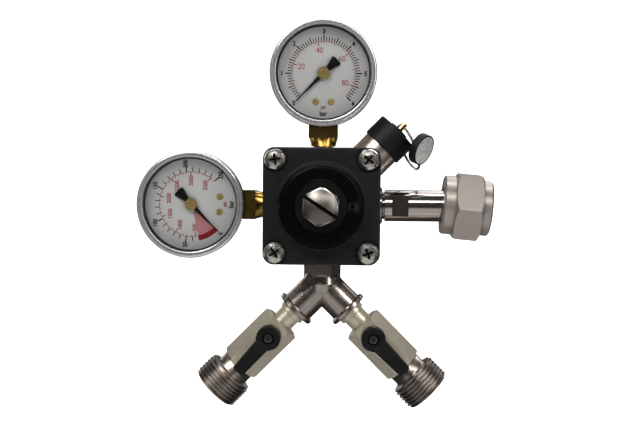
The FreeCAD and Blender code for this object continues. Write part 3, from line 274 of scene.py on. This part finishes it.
brass_y = metal("brass_front", (0.80, 0.58, 0.24), 0.25, 0.06, 0.10, 0.25, AX_Y, 0.3)
brass_dial = metal("brass_dial", (0.74, 0.55, 0.20), 0.22, 0.05, 0.12, 0.14, AX_Y, 0.2, keep=0.25, plating=0.72)
brass_hub = metal("brass_hub", (0.46, 0.34, 0.11), 0.24, 0.05, 0.12, 0.14, AX_Y, 0.25, keep=0.20, plating=0.72)
case_metal = metal("steel_case", (0.60, 0.61, 0.62), 0.24, 0.03, 0.03, 0.03, None, 0.0, keep=0.25, plating=0.8)


def bezel_face(name, cx, cz):
    """bright rolled steel with painted light by radius: a painted shadow line where the bezel meets the lens, another
    at its step, a darker painted rim, and painted reflection bands between
    """
    g = Graph(name)
    d = g.add("ShaderNodeVectorMath", operation="MULTIPLY")
    g.link(g.where, d.inputs[0])
    d.inputs[1].default_value = (1.0, 0.0, 1.0)
    far = g.add("ShaderNodeVectorMath", operation="DISTANCE")
    g.link(d.outputs["Vector"], far.inputs[0])
    far.inputs[1].default_value = (cx, 0.0, cz)
    t = g.ranged(far.outputs["Value"], 0.0220, 0.0260, 0.0, 1.0)
    # painted shade and painted reflection: dark and light rings set by radius
    tone = g.colours(t, (0.0, (0.10, 0.10, 0.10)), (0.14, (0.12, 0.12, 0.12)), (0.20, (0.52, 0.525, 0.53)), (0.42, (0.62, 0.625, 0.63)),
                     (0.47, (0.14, 0.14, 0.145)), (0.52, (0.58, 0.585, 0.59)), (0.78, (0.66, 0.665, 0.67)), (0.88, (0.38, 0.38, 0.39)))
    slow = g.noise(90.0, 3.0, 0.5)
    g.to("Base Color", g.mixed(g.ranged(slow, 0.3, 0.7, 0.0, 0.04), tone, (0.30, 0.30, 0.31))).to("Metallic", 0.80)
    g.to("Roughness", g.ranged(slow, 0.3, 0.7, 0.20, 0.24))
    g.to("Normal", g.bump(g.noise(2600.0, 2.0, 0.5), 0.006, 0.00001))
    return g.m


zinc = metal("zinc_bright", (0.82, 0.78, 0.71), 0.22, 0.05, 0.05, 0.08, AX_Y, 0.12, patch=420.0, keep=0.02)
zinc_pan = metal("zinc_pan", (0.82, 0.78, 0.72), 0.24, 0.05, 0.05, 0.08, AX_Y, 0.12, patch=420.0, keep=0.10, recess=cross_of)
zinc_screw = metal("zinc_screw", (0.21, 0.193, 0.168), 0.36, 0.05, 0.06, 0.12, None, 0.0, patch=420.0, keep=0.10, recess=slot_of, rim=rim_of)
screw_dark = metal("screw_dark", (0.13, 0.13, 0.13), 0.30, 0.05, 0.10, 0.15, AX_Y, 0.15, patch=420.0, keep=0.10)
spring = metal("spring_wire", (0.45, 0.46, 0.48), 0.30, 0.05, 0.06, 0.3, AX_Y, 0.3)
ring_wire = metal("ring_wire", (0.70, 0.67, 0.60), 0.24, 0.06, 0.08, 0.12, patch=500.0, stain=(0.36, 0.33, 0.27), keep=0.12)
chrome = metal("ball_chrome", (0.72, 0.72, 0.73), 0.08, 0.03, 0.03, 0.1)
sealed = metal("seal_metal", (0.80, 0.80, 0.79), 0.30, 0.08, 0.10, 0.7, patch=520.0, stain=(0.46, 0.45, 0.43), plating=0.75)

def bonnet_face():
    """anodised black, with a smoother and deeper black ring band round the screw"""
    g = Graph("bonnet_black")
    slow = g.noise(180.0, 4.0, 0.6)
    outer = g.colours(slow, (0.3, (0.0040, 0.0040, 0.0044)), (0.72, (0.0062, 0.0062, 0.0066)))
    d = g.add("ShaderNodeVectorMath", operation="MULTIPLY")
    g.link(g.where, d.inputs[0])
    d.inputs[1].default_value = (1.0, 0.0, 1.0)
    d2 = g.add("ShaderNodeVectorMath", operation="DISTANCE")
    g.link(d.outputs["Vector"], d2.inputs[0])
    d2.inputs[1].default_value = (-0.068, 0.0, 0.0)
    far = d2.outputs["Value"]
    band = g.math("MULTIPLY", g.ranged(far, 0.0116, 0.0120, 0.55, 1.0), g.ranged(far, 0.0192, 0.0195, 1.0, 0.0))
    fleck = g.ranged(g.noise(700.0, 8.0, 0.75), 0.62, 0.78, 0.0, 0.35)
    base = g.mixed(band, outer, (0.0010, 0.0010, 0.0012))
    # lighter flecks, and edges lightened as wear and painted highlight
    base = g.mixed(g.math("MULTIPLY", g.edge(0.54, 0.64), 0.5), g.mixed(fleck, base, (0.014, 0.014, 0.014)), (0.035, 0.035, 0.035))
    g.to("Base Color", base)
    fine = g.noise(2400.0, 5.0, 0.65)
    r = g.ranged(g.math("ADD", g.math("MULTIPLY", slow, 0.5), g.math("MULTIPLY", fine, 0.5)), 0.3, 0.7, 0.44, 0.56)
    g.to("Roughness", g.math("SUBTRACT", r, g.math("MULTIPLY", band, 0.16)))
    g.to("Specular IOR Level", g.ranged(band, 0.0, 1.0, 0.16, 0.06)).to("Normal", g.bump(fine, 0.25, 0.00005))
    return g.m


bonnet_black = bonnet_face()
plastic = coat("plastic_black", (0.0035, 0.0035, 0.004), 0.48, 0.20, 1500.0, light=(0.012, 0.012, 0.012), spec=0.16)
needle_black = coat("needle_black", (0.0022, 0.0022, 0.0026), 0.55, 0.10, 3000.0, spec=0.05)
rubber = coat("rubber", (0.030, 0.030, 0.032), 0.70, 0.35, 1100.0)
fibre = coat("washer_white", (0.80, 0.79, 0.75), 0.55, 0.25, 1300.0)
seats = coat("seat_white", (0.84, 0.84, 0.82), 0.45, 0.12, 1300.0)
ink_black = coat("ink_black", (0.0018, 0.0018, 0.0024), 0.65, 0.10, 4000.0, spec=0.04)
ink_red = coat("ink_red", (0.17, 0.005, 0.012), 0.65, 0.10, 4000.0, spec=0.10)
gasket = coat("gasket_black", (0.006, 0.006, 0.006), 0.62, 0.25, 1800.0, spec=0.2)


def dial_face():
    g = Graph("dial_white")
    slow = g.noise(90.0, 3.0, 0.5)
    face = g.colours(slow, (0.3, (0.290, 0.290, 0.286)), (0.7, (0.310, 0.310, 0.306)))
    # painted shade: the dial face darkened near the bezel and hub by ambient occlusion
    g.to("Base Color", g.times(face, g.hollow(0.0035, 0.50)))
    fine = g.noise(3800.0, 3.0, 0.6)
    g.to("Roughness", g.ranged(fine, 0.3, 0.7, 0.42, 0.56)).to("Normal", g.bump(fine, 0.12, 0.00002))
    return g.m


def zone_face():
    """the pressure band: fine slanted rules on a pale ground"""
    g = Graph("zone_pink")
    w = g.add("ShaderNodeTexWave", bands_direction="DIAGONAL")
    w.inputs["Scale"].default_value = 700.0
    g.link(g.where, w.inputs["Vector"])
    stripe = g.ranged(w.outputs["Fac"], 0.45, 0.60, 0.0, 1.0)
    g.to("Base Color", g.mixed(stripe, (0.30, 0.15, 0.155), (0.24, 0.030, 0.042)))
    g.to("Roughness", g.ranged(g.noise(3000.0), 0.3, 0.7, 0.50, 0.62))
    return g.m


def lens_face():
    g = Graph("lens_clear")
    g.to("Base Color", (0.03, 0.03, 0.03)).to("Alpha", 0.045).to("IOR", 1.49)
    film = g.noise(60.0, 4.0, 0.6)
    g.to("Roughness", g.ranged(film, 0.3, 0.7, 0.02, 0.07))
    g.to("Normal", g.bump(film, 0.04, 0.0002))
    return g.m


def sinter_face():
    g = Graph("sintered_bronze")
    v = g.add("ShaderNodeTexVoronoi")
    v.inputs["Scale"].default_value = 4200.0
    g.link(g.where, v.inputs["Vector"])
    d = v.outputs["Distance"]
    g.to("Base Color", g.colours(d, (0.0, (0.56, 0.36, 0.16)), (0.6, (0.20, 0.11, 0.05)))).to("Metallic", 1.0)
    g.to("Roughness", g.ranged(d, 0.0, 0.6, 0.35, 0.75)).to("Normal", g.bump(g.math("SUBTRACT", 1.0, d), 0.9, 0.0001))
    return g.m


dial_white, zone_pink, lens_clear, bronze = dial_face(), zone_face(), lens_face(), sinter_face()

LOOK = {
    "regulator_body": body_metal, "bonnet": bonnet_black, "bonnet_screws": zinc_pan, "adjusting_screw": zinc_screw, "spring_button": zinc,
    "range_spring": spring, "diaphragm_plate": brass_y, "diaphragm": rubber, "diaphragm_ring": zinc, "seat_nozzle": brass_y,
    "poppet": brass_y, "poppet_spring": spring, "rear_plug": nickel("nickel_plug", AX_Y), "inlet_stem": stem_metal, "inlet_filter": bronze,
    "inlet_washer": fibre, "inlet_nut": nut_metal, "relief_body": relief_metal, "relief_cap": plastic, "relief_stem": brass_y,
    "relief_spring": spring, "pull_ring": ring_wire, "seal_tag": plastic, "seal_face": sealed, "y_fitting": y_metal, "ball_seats": seats,
    "left_valve_body": valve_left, "right_valve_body": valve_right, "left_outlet_adapter": thread_left, "right_outlet_adapter": thread_right,
}
for side in ("left_", "right_"):
    LOOK.update({side + "ball": chrome, side + "valve_stem": brass_y, side + "lever": plastic, side + "lever_screw": screw_dark})
for side, brass in (("low_", brass_z), ("high_", brass_x)):
    LOOK.update({side + "case": case_metal, side + "lens": lens_clear, side + "dial": dial_white,
                 side + "dial_screws": brass_dial, side + "socket": brass, side + "bourdon_tube": brass_y, side + "movement": brass_y,
                 side + "sector": brass_y, side + "pointer_shaft": brass_hub, side + "pointer": needle_black})
LOOK["low_bezel"] = bezel_face("steel_bezel_low", -0.068, 0.063)
LOOK["high_bezel"] = bezel_face("steel_bezel_high", -0.131, 0.0)
for name, o in NODES.items():
    o.data.materials.clear()
    o.data.materials.append(LOOK[name])


# -------------------------------------------------------------- helpers
def place_of(x, y, z, origin):
    """local millimetres to world metres"""
    m = Matrix((Vector(x), Vector(y), Vector(z))).transposed().to_4x4()
    m.translation = Vector(origin)
    return Matrix.Scale(MM, 4) @ m


def piece(name, verts, faces, material, body, smooth=None):
    me = bpy.data.meshes.new(name)
    me.from_pydata(verts, [], faces)
    me.validate()
    if smooth is not None:
        me.shade_smooth()
        me.set_sharp_from_angle(angle=math.radians(smooth))
    me.materials.append(material)
    o = bpy.data.objects.new(name, me)
    bpy.context.scene.collection.objects.link(o)
    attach(o, body)
    return o


class Flat:
    """Print on a dial: flat shapes in the dial's own millimetres."""

    def __init__(self, place, z):
        self.place, self.z = place, z
        self.v, self.f = [], []

    def shape(self, pts):
        n = len(self.v)
        self.v += [self.place @ Vector((x, y, self.z)) for x, y in pts]
        self.f.append(tuple(range(n, n + len(pts))))

    def tick(self, deg, r0, r1, wide):
        a = math.radians(deg)
        c, s = math.cos(a), math.sin(a)
        h = wide / 2
        self.shape([(r0 * c + h * s, r0 * s - h * c), (r1 * c + h * s, r1 * s - h * c), (r1 * c - h * s, r1 * s + h * c), (r0 * c - h * s, r0 * s + h * c)])

    def band(self, a0, a1, r0, r1, step=3.0):
        n = max(2, int(abs(a1 - a0) / step))
        for i in range(n):
            p, q = (math.radians(a0 + (a1 - a0) * k / n) for k in (i, i + 1))
            pts = [(r0 * math.cos(p), r0 * math.sin(p)), (r1 * math.cos(p), r1 * math.sin(p)), (r1 * math.cos(q), r1 * math.sin(q)), (r0 * math.cos(q), r0 * math.sin(q))]
            self.shape(pts if a1 > a0 else pts[::-1])

    def word(self, text, x, y, high, heavy=0.0, narrow=0.86):
        c = bpy.data.curves.new("word", "FONT")
        c.body, c.size, c.resolution_u, c.offset = text, 1.0, 4, heavy
        o = bpy.data.objects.new("word", c)
        bpy.context.scene.collection.objects.link(o)
        dg = bpy.context.evaluated_depsgraph_get()
        me = bpy.data.meshes.new_from_object(o.evaluated_get(dg))
        xs, ys = [v.co.x for v in me.vertices], [v.co.y for v in me.vertices]
        k = high / (max(ys) - min(ys))
        cx, cy = (max(xs) + min(xs)) / 2, (max(ys) + min(ys)) / 2
        n = len(self.v)
        self.v += [self.place @ Vector((x + (v.co.x - cx) * k * narrow, y + (v.co.y - cy) * k, self.z)) for v in me.vertices]
        self.f += [tuple(n + i for i in p.vertices) for p in me.polygons]
        bpy.data.objects.remove(o)
        bpy.data.meshes.remove(me)
        bpy.data.curves.remove(c)

    def at(self, text, deg, r, high, heavy=0.0):
        a = math.radians(deg)
        self.word(text, r * math.cos(a), r * math.sin(a), high, heavy)

    def make(self, name, material):
        return piece(name, self.v, self.f, material, "regulator")


LOW = place_of((1, 0, 0), (0, 0, 1), (0, -1, 0), (-68, 0, 63))
HIGH = place_of((0, 0, 1), (-1, 0, 0), (0, -1, 0), (-131, 0, 0))
TOP = 5.6

# ------------------------------------------------------ low gauge's dial
k, r = Flat(LOW, TOP + 0.03), Flat(LOW, TOP + 0.03)
for i in range(61):
    a = 225 - 4.5 * i
    if i % 10 == 0:
        k.tick(a, 15.55, 18.4, 0.60)
    elif i % 5 == 0:
        k.tick(a, 15.55, 18.1, 0.48)
    else:
        k.tick(a, 15.55, 17.4, 0.42)
for i in range(7):
    k.at(str(i), 225 - 45 * i, 20.0, 2.35, 0.045)
k.word("bar", 0, -19.1, 2.4, 0.035)
per = 45 / 14.5038
r.band(225, -45, 15.15, 15.4)
for p in range(0, 88, 2):
    a = 225 - per * p
    if p % 20 == 0:
        r.tick(a, 13.4, 15.3, 0.42)
    elif p % 10 == 0:
        r.tick(a, 13.9, 15.3, 0.28)
    else:
        r.tick(a, 14.4, 15.3, 0.22)
for p in (20, 40, 60, 80):
    r.at(str(p), 225 - per * p, 11.2, 2.75, 0.0)
r.word("psi", 0, -16.3, 2.2, 0.030)
k.make("low_dial_scale_bar", ink_black)
r.make("low_dial_scale_psi", ink_red)

# ----------------------------------------------------- high gauge's dial
k, r, z = Flat(HIGH, TOP + 0.05), Flat(HIGH, TOP + 0.05), Flat(HIGH, TOP + 0.025)
for i in range(26):
    a = 225 - 10.8 * i
    if i % 5 == 0:
        k.tick(a, 15.75, 18.4, 0.52)
    else:
        k.tick(a, 15.75, 17.7, 0.40)
for i in range(6):
    k.at(str(50 * i), 225 - 54 * i, 19.7 if i else 19.9, 2.2, 0.035)
k.word("bar", 0, -19.1, 2.4, 0.035)
per = 1.08 * 0.0689476
r.band(225, -45, 15.45, 15.7)
for p in range(0, 3600, 100):
    a = 225 - per * p
    if p % 500 == 0:
        r.tick(a, 13.6, 15.6, 0.42)
    else:
        r.tick(a, 14.5, 15.6, 0.18)
for p in range(500, 3600, 500):
    r.at(str(p), 225 - per * p, 11.3, 2.15, 0.020)
r.band(225 - 1.08 * 30, 225, 15.7, 17.9)
z.band(225 - 1.08 * 30, 225, 4.2, 15.5)
r.word("psi", 0, -16.3, 2.2, 0.030)
k.make("high_dial_scale_bar", ink_black)
r.make("high_dial_scale_psi", ink_red)
z.make("high_dial_zone", zone_pink)


# ------------------------------------------------------------- pointers
def pointer(name, place, body):
    """a thin blade, a round hub and a fan-shaped tail, pressed from sheet"""
    c, s = math.cos(math.radians(225)), math.sin(math.radians(225))
    hub = [(2.2 * math.cos(math.radians(t)), 2.2 * math.sin(math.radians(t))) for t in range(30, 151, 12)]
    side = [(NEEDLE_LONG, 0.12), (9.0, 0.50), (2.6, 0.95)] + hub + [(-2.6, 1.05), (-NEEDLE_TAIL + 0.55, 2.75), (-NEEDLE_TAIL + 0.12, 1.9), (-NEEDLE_TAIL, 0.9)]
    pts = side + [(x, -y) for x, y in reversed(side)]
    verts = [place @ Vector((x * c - y * s, x * s + y * c, z)) for z in (NEEDLE_LOW, NEEDLE_LOW + NEEDLE_THICK) for x, y in pts]
    n = len(pts)
    faces = [tuple(range(n)), tuple(range(2 * n - 1, n - 1, -1))] + [(i, n + i, n + (i + 1) % n, (i + 1) % n) for i in range(n)]
    o = piece(name + "_blade", verts, faces, needle_black, body)
    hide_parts(name)


NEEDLE_LOW, NEEDLE_THICK, NEEDLE_LONG, NEEDLE_TAIL = 6.5, 0.5, 18.6, 9.2
pointer("low_pointer", LOW, "low_needle")
pointer("high_pointer", HIGH, "high_needle")

# ------------------------------------------- outlet threads and pull ring
def turned(place, rows, steps, name, material, body, smooth=38):
    """rows of (height, radius function of the angle), closed round into a ring of rings"""
    verts, faces = [], []
    for s, rad in rows:
        for i in range(steps):
            a = 2 * math.pi * i / steps
            q = rad(a) if callable(rad) else rad
            verts.append(place @ Vector((q * math.cos(a), q * math.sin(a), s)))
    n = len(rows)
    for j in range(n):
        for i in range(steps):
            p, q = j * steps, ((j + 1) % n) * steps
            faces.append((p + i, p + (i + 1) % steps, q + (i + 1) % steps, q + i))
    return piece(name, verts, faces, material, body, smooth)


PITCH, CREST, DEPTH = 1.814, 12.2, 0.98


def thread(s):
    def rad(a):
        t = (s / PITCH - a / (2 * math.pi)) % 1.0
        # a rounded crest and a rounded root, as a gas thread has
        w = 0.5 - 0.5 * math.cos(2 * math.pi * t)
        w = w * w * (3 - 2 * w)
        full = min(1.0, max(0.0, (s - 62.4) / 0.7), 1.0)
        end = min(1.0, max(0.0, (73.8 - s) / 1.1))
        top = CREST - 0.75 * (1 - full) - 1.0 * (1 - end)
        return max(top - DEPTH * w * min(1.0, full + 0.35), 11.0)
    return rad


for side, deg, mat in (("left", 225.0, thread_left), ("right", 315.0, thread_right)):
    a = math.radians(deg)
    P = place_of((-math.sin(a), 0, math.cos(a)), (0, -1, 0), (math.cos(a), 0, math.sin(a)), (-68, 0, -37.8))
    rows = [(41.65, 6.7), (42.05, 7.1), (56.72, 7.1), (56.73, 8.15), (57.1, 8.5), (61.1, 8.5), (61.45, 8.62), (61.7, 8.95), (61.8, 9.3), (61.8, 10.6), (61.86, 11.0)]
    rows += [(61.9 + 0.106 * i, thread(61.9 + 0.106 * i)) for i in range(112)]
    rows += [(73.8, 11.0), (73.8, 9.75), (73.72, 9.58), (73.5, 9.42), (69.95, 4.75), (69.7, 4.55), (69.5, 4.5), (41.65, 4.5)]
    o = turned(P, rows, 144, side + "_outlet_thread", mat, "regulator", 50)
    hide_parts(side + "_outlet_adapter")

# the split ring: one wire wound twice round, its two ends lying over each other
ring_c = Vector((-26.7290, 5.2113, 28.5061))
av = Vector((0.35355339, -0.8660254, -0.35355339))
ev = Vector((0.25616167, 0.45315389, -0.85383415)).normalized()
nv = ev.cross(av).normalized()
R, W, FLAT = 11.5, 0.44, 0.36
verts, faces = [], []
STEPS, AROUND = 220, 10
START = math.radians(205)
for i in range(STEPS + 1):
    t = 4 * math.pi * i / STEPS
    u = (t - 2 * math.pi) / math.radians(34)
    lay = max(-1.0, min(1.0, u))
    lay = 0.5 * lay * (3 - lay * lay)
    radial = ev * math.cos(START + t) + av * math.sin(START + t)
    mid = ring_c + radial * R + nv * (FLAT * 1.02 * lay)
    close = 0.72 if i in (0, STEPS) else 1.0
    for j in range(AROUND):
        b = 2 * math.pi * j / AROUND
        verts.append((mid + radial * (W * 1.35 * close * math.cos(b)) + nv * (FLAT * close * math.sin(b))) * MM)
for i in range(STEPS):
    for j in range(AROUND):
        p, q = i * AROUND, (i + 1) * AROUND
        faces.append((p + j, p + (j + 1) % AROUND, q + (j + 1) % AROUND, q + j))
faces.append(tuple(range(AROUND))[::-1])
faces.append(tuple(STEPS * AROUND + j for j in range(AROUND)))
o = piece("split_ring", verts, faces, ring_wire, "ring", 50)
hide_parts("pull_ring")


# ------------------------------------------------------- gaskets, details
def lathe_y(name, centre, pts, material, body, steps=128, smooth=35):
    """a ring about the line towards the viewer through centre; pts are (radius, front)"""
    place = place_of((1, 0, 0), (0, 0, 1), (0, -1, 0), centre)
    return turned(place, [(f, q) for q, f in pts], steps, name, material, body, smooth)


rolled = [(24.25, 4.6), (25.4, 4.6), (25.55, 4.75)]
rolled += [(24.4 + 1.15 * math.cos(math.radians(t)), 11.5 + 1.3 * math.sin(math.radians(t))) for t in range(0, 91, 10)]
rolled += [(24.28, 12.8), (24.2, 12.6), (24.0, 12.6), (23.92, 12.8)]
rolled += [(23.1 + 0.9 * math.cos(math.radians(t)), 11.9 + 0.9 * math.sin(math.radians(t))) for t in range(90, 181, 15)]
rolled += [(22.2, 11.4), (24.25, 11.4)]
for tag, c in (("low", (-68, 0, 63)), ("high", (-131, 0, 0))):
    o = lathe_y(tag + "_rolled_bezel", c, rolled, LOOK[tag + "_bezel"], "regulator", 256, 42)
    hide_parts(tag + "_bezel")
    lathe_y(tag + "_lens_gasket", c, [(21.7, 9.55), (23.4, 9.55), (23.4, 9.74), (21.7, 9.74)], gasket, "regulator")
    lathe_y(tag + "_hub_ring", c, [(1.55, 8.41), (1.75, 8.55), (1.95, 8.41), (1.75, 8.38)], brass_dial, tag + "_needle", 48)

# ------------------------------------------------------ stage and camera
TARGET = Vector((-0.0693, 0.0, -0.0070))


def staged(name, verts, faces, material):
    me = bpy.data.meshes.new(name)
    me.from_pydata(verts, [], faces)
    me.materials.append(material)
    o = bpy.data.objects.new(name, me)
    bpy.context.scene.collection.objects.link(o)
    return o


def paper(name, colour, glow):
    g = Graph(name)
    g.to("Base Color", g.colours(g.noise(3.0), (0.3, shade(colour, 0.985)), (0.7, colour)))
    g.to("Roughness", g.ranged(g.noise(40.0), 0.3, 0.7, 0.75, 0.9))
    g.to("Emission Color", (1.0, 1.0, 1.0)).to("Emission Strength", glow)
    return g.m


FLOOR = -0.17
sweep = []
for i in range(25):
    if i < 4:
        sweep.append((-1.6 + 0.62 * i, FLOOR))
    elif i < 20:
        b = math.radians(90 * (i - 3) / 16)
        sweep.append((0.26 + 0.55 * math.sin(b), FLOOR + 0.55 * (1 - math.cos(b))))
    else:
        sweep.append((0.81, FLOOR + 0.55 + 0.35 * (i - 19)))
verts = [(x - 0.07, y, zz) for y, zz in sweep for x in (-2.2, 2.2)]
faces = [(2 * i, 2 * i + 1, 2 * i + 3, 2 * i + 2) for i in range(len(sweep) - 1)]
cyc = staged("floor", verts, faces, paper("floor_paper", (0.90, 0.90, 0.90), 0.80))
cyc.data.shade_smooth()
cyc.visible_glossy = False

# the pale room round the set, so that every side is seen against the same white
R0, LOW_Z, HIGH_Z, N = 2.6, FLOOR - 0.02, 2.6, 48
verts = [(R0 * math.cos(2 * math.pi * i / N), R0 * math.sin(2 * math.pi * i / N), zz) for zz in (LOW_Z, HIGH_Z) for i in range(N)]
faces = [(i, N + i, N + (i + 1) % N, (i + 1) % N) for i in range(N)] + [tuple(range(N)), tuple(range(2 * N - 1, N - 1, -1))]
room = staged("room", verts, faces, paper("room_paper", (0.90, 0.90, 0.90), 1.0))
room.visible_glossy = room.visible_diffuse = room.visible_shadow = room.visible_transmission = False

world = bpy.data.worlds.new("studio")
world.use_nodes = True
bg = next(n for n in world.node_tree.nodes if n.type == "BACKGROUND")
bg.inputs["Color"].default_value = (0.62, 0.64, 0.66, 1.0)
bg.inputs["Strength"].default_value = 0.07
bpy.context.scene.world = world


def softbox(name, at, size, energy, tint=(1.0, 1.0, 1.0), look=TARGET, spread=180.0):
    d = bpy.data.lights.new(name, "AREA")
    d.shape, d.size, d.size_y = "RECTANGLE", size[0], size[1]
    d.energy, d.color, d.spread = energy, tint, math.radians(spread)
    o = bpy.data.objects.new(name, d)
    o.location = TARGET + Vector(at)
    o.rotation_euler = (look - o.location).to_track_quat("-Z", "Y").to_euler()
    bpy.context.scene.collection.objects.link(o)
    return o


softbox("key", (-0.45, -0.75, 0.75), (0.45, 0.45), 7.0, (1.0, 0.985, 0.96))
softbox("fill", (0.75, -0.70, 0.25), (0.22, 0.75), 2.6)
softbox("top", (0.0, 0.05, 0.90), (0.9, 0.28), 4.5)
for name, at, size, energy in (("rear_key", (0.30, 0.46, 0.55), (0.45, 0.45), 1.7), ("rear_fill", (-0.40, 0.52, 0.10), (0.25, 0.6), 0.55),
                               ("rear_low", (0.1, 0.60, -0.10), (0.6, 0.10), 0.18)):
    softbox(name, at, size, energy).visible_camera = False
softbox("under", (0.0, -0.55, -0.55), (1.1, 0.42), 0.62)
softbox("under_front", (0.0, -0.72, -0.30), (1.1, 0.28), 0.40)
softbox("under_deep", (0.0, -0.25, -0.70), (1.1, 0.45), 0.65)
softbox("band", (0.15, -0.62, 0.42), (1.1, 0.11), 2.9, (1.0, 0.99, 0.97))


def card(name, at, wide, high, tone):
    """a dark card beside the set, seen only in reflections"""
    g = Graph(name)
    g.to("Base Color", g.colours(g.noise(6.0), (0.3, shade(tone, 0.8)), (0.7, tone))).to("Roughness", 0.9)
    q = (Vector((0, 0, 0)) - Vector(at)).to_track_quat("Z", "Y").to_matrix()
    pts = [TARGET + Vector(at) + q @ Vector((x * wide / 2, y * high / 2, 0)) for x, y in ((-1, -1), (1, -1), (1, 1), (-1, 1))]
    o = staged(name, pts, [(0, 1, 2, 3)], g.m)
    o.visible_camera = False
    return o


card("card_left", (-0.55, -0.10, 0.0), 0.5, 0.8, (0.03, 0.03, 0.03))
card("card_right", (0.60, -0.05, 0.0), 0.5, 0.8, (0.03, 0.03, 0.03))
card("card_front", (0.05, -1.1, -0.05), 0.9, 1.0, (0.02, 0.02, 0.02))

AZ, EL, FAR, ROLL = 1.5, 2.0, 0.525, 0.5
a, e = math.radians(AZ), math.radians(EL)
back = Vector((math.sin(a) * math.cos(e), -math.cos(a) * math.cos(e), math.sin(e)))
cam_data = bpy.data.cameras.new("camera")
cam_data.sensor_width, cam_data.lens = 36.0, 60.9
cam_data.clip_start, cam_data.clip_end = 0.01, 20.0
cam = bpy.data.objects.new("camera", cam_data)
cam.location = TARGET + back * FAR
q = (-back).to_track_quat("-Z", "Y")
cam.rotation_mode = "QUATERNION"
cam.rotation_quaternion = q @ Matrix.Rotation(math.radians(ROLL), 3, "Z").to_quaternion()
bpy.context.scene.collection.objects.link(cam)
bpy.context.scene.camera = cam
bpy.context.scene.view_settings.view_transform = "Standard"
bpy.context.scene.view_settings.look = "None"
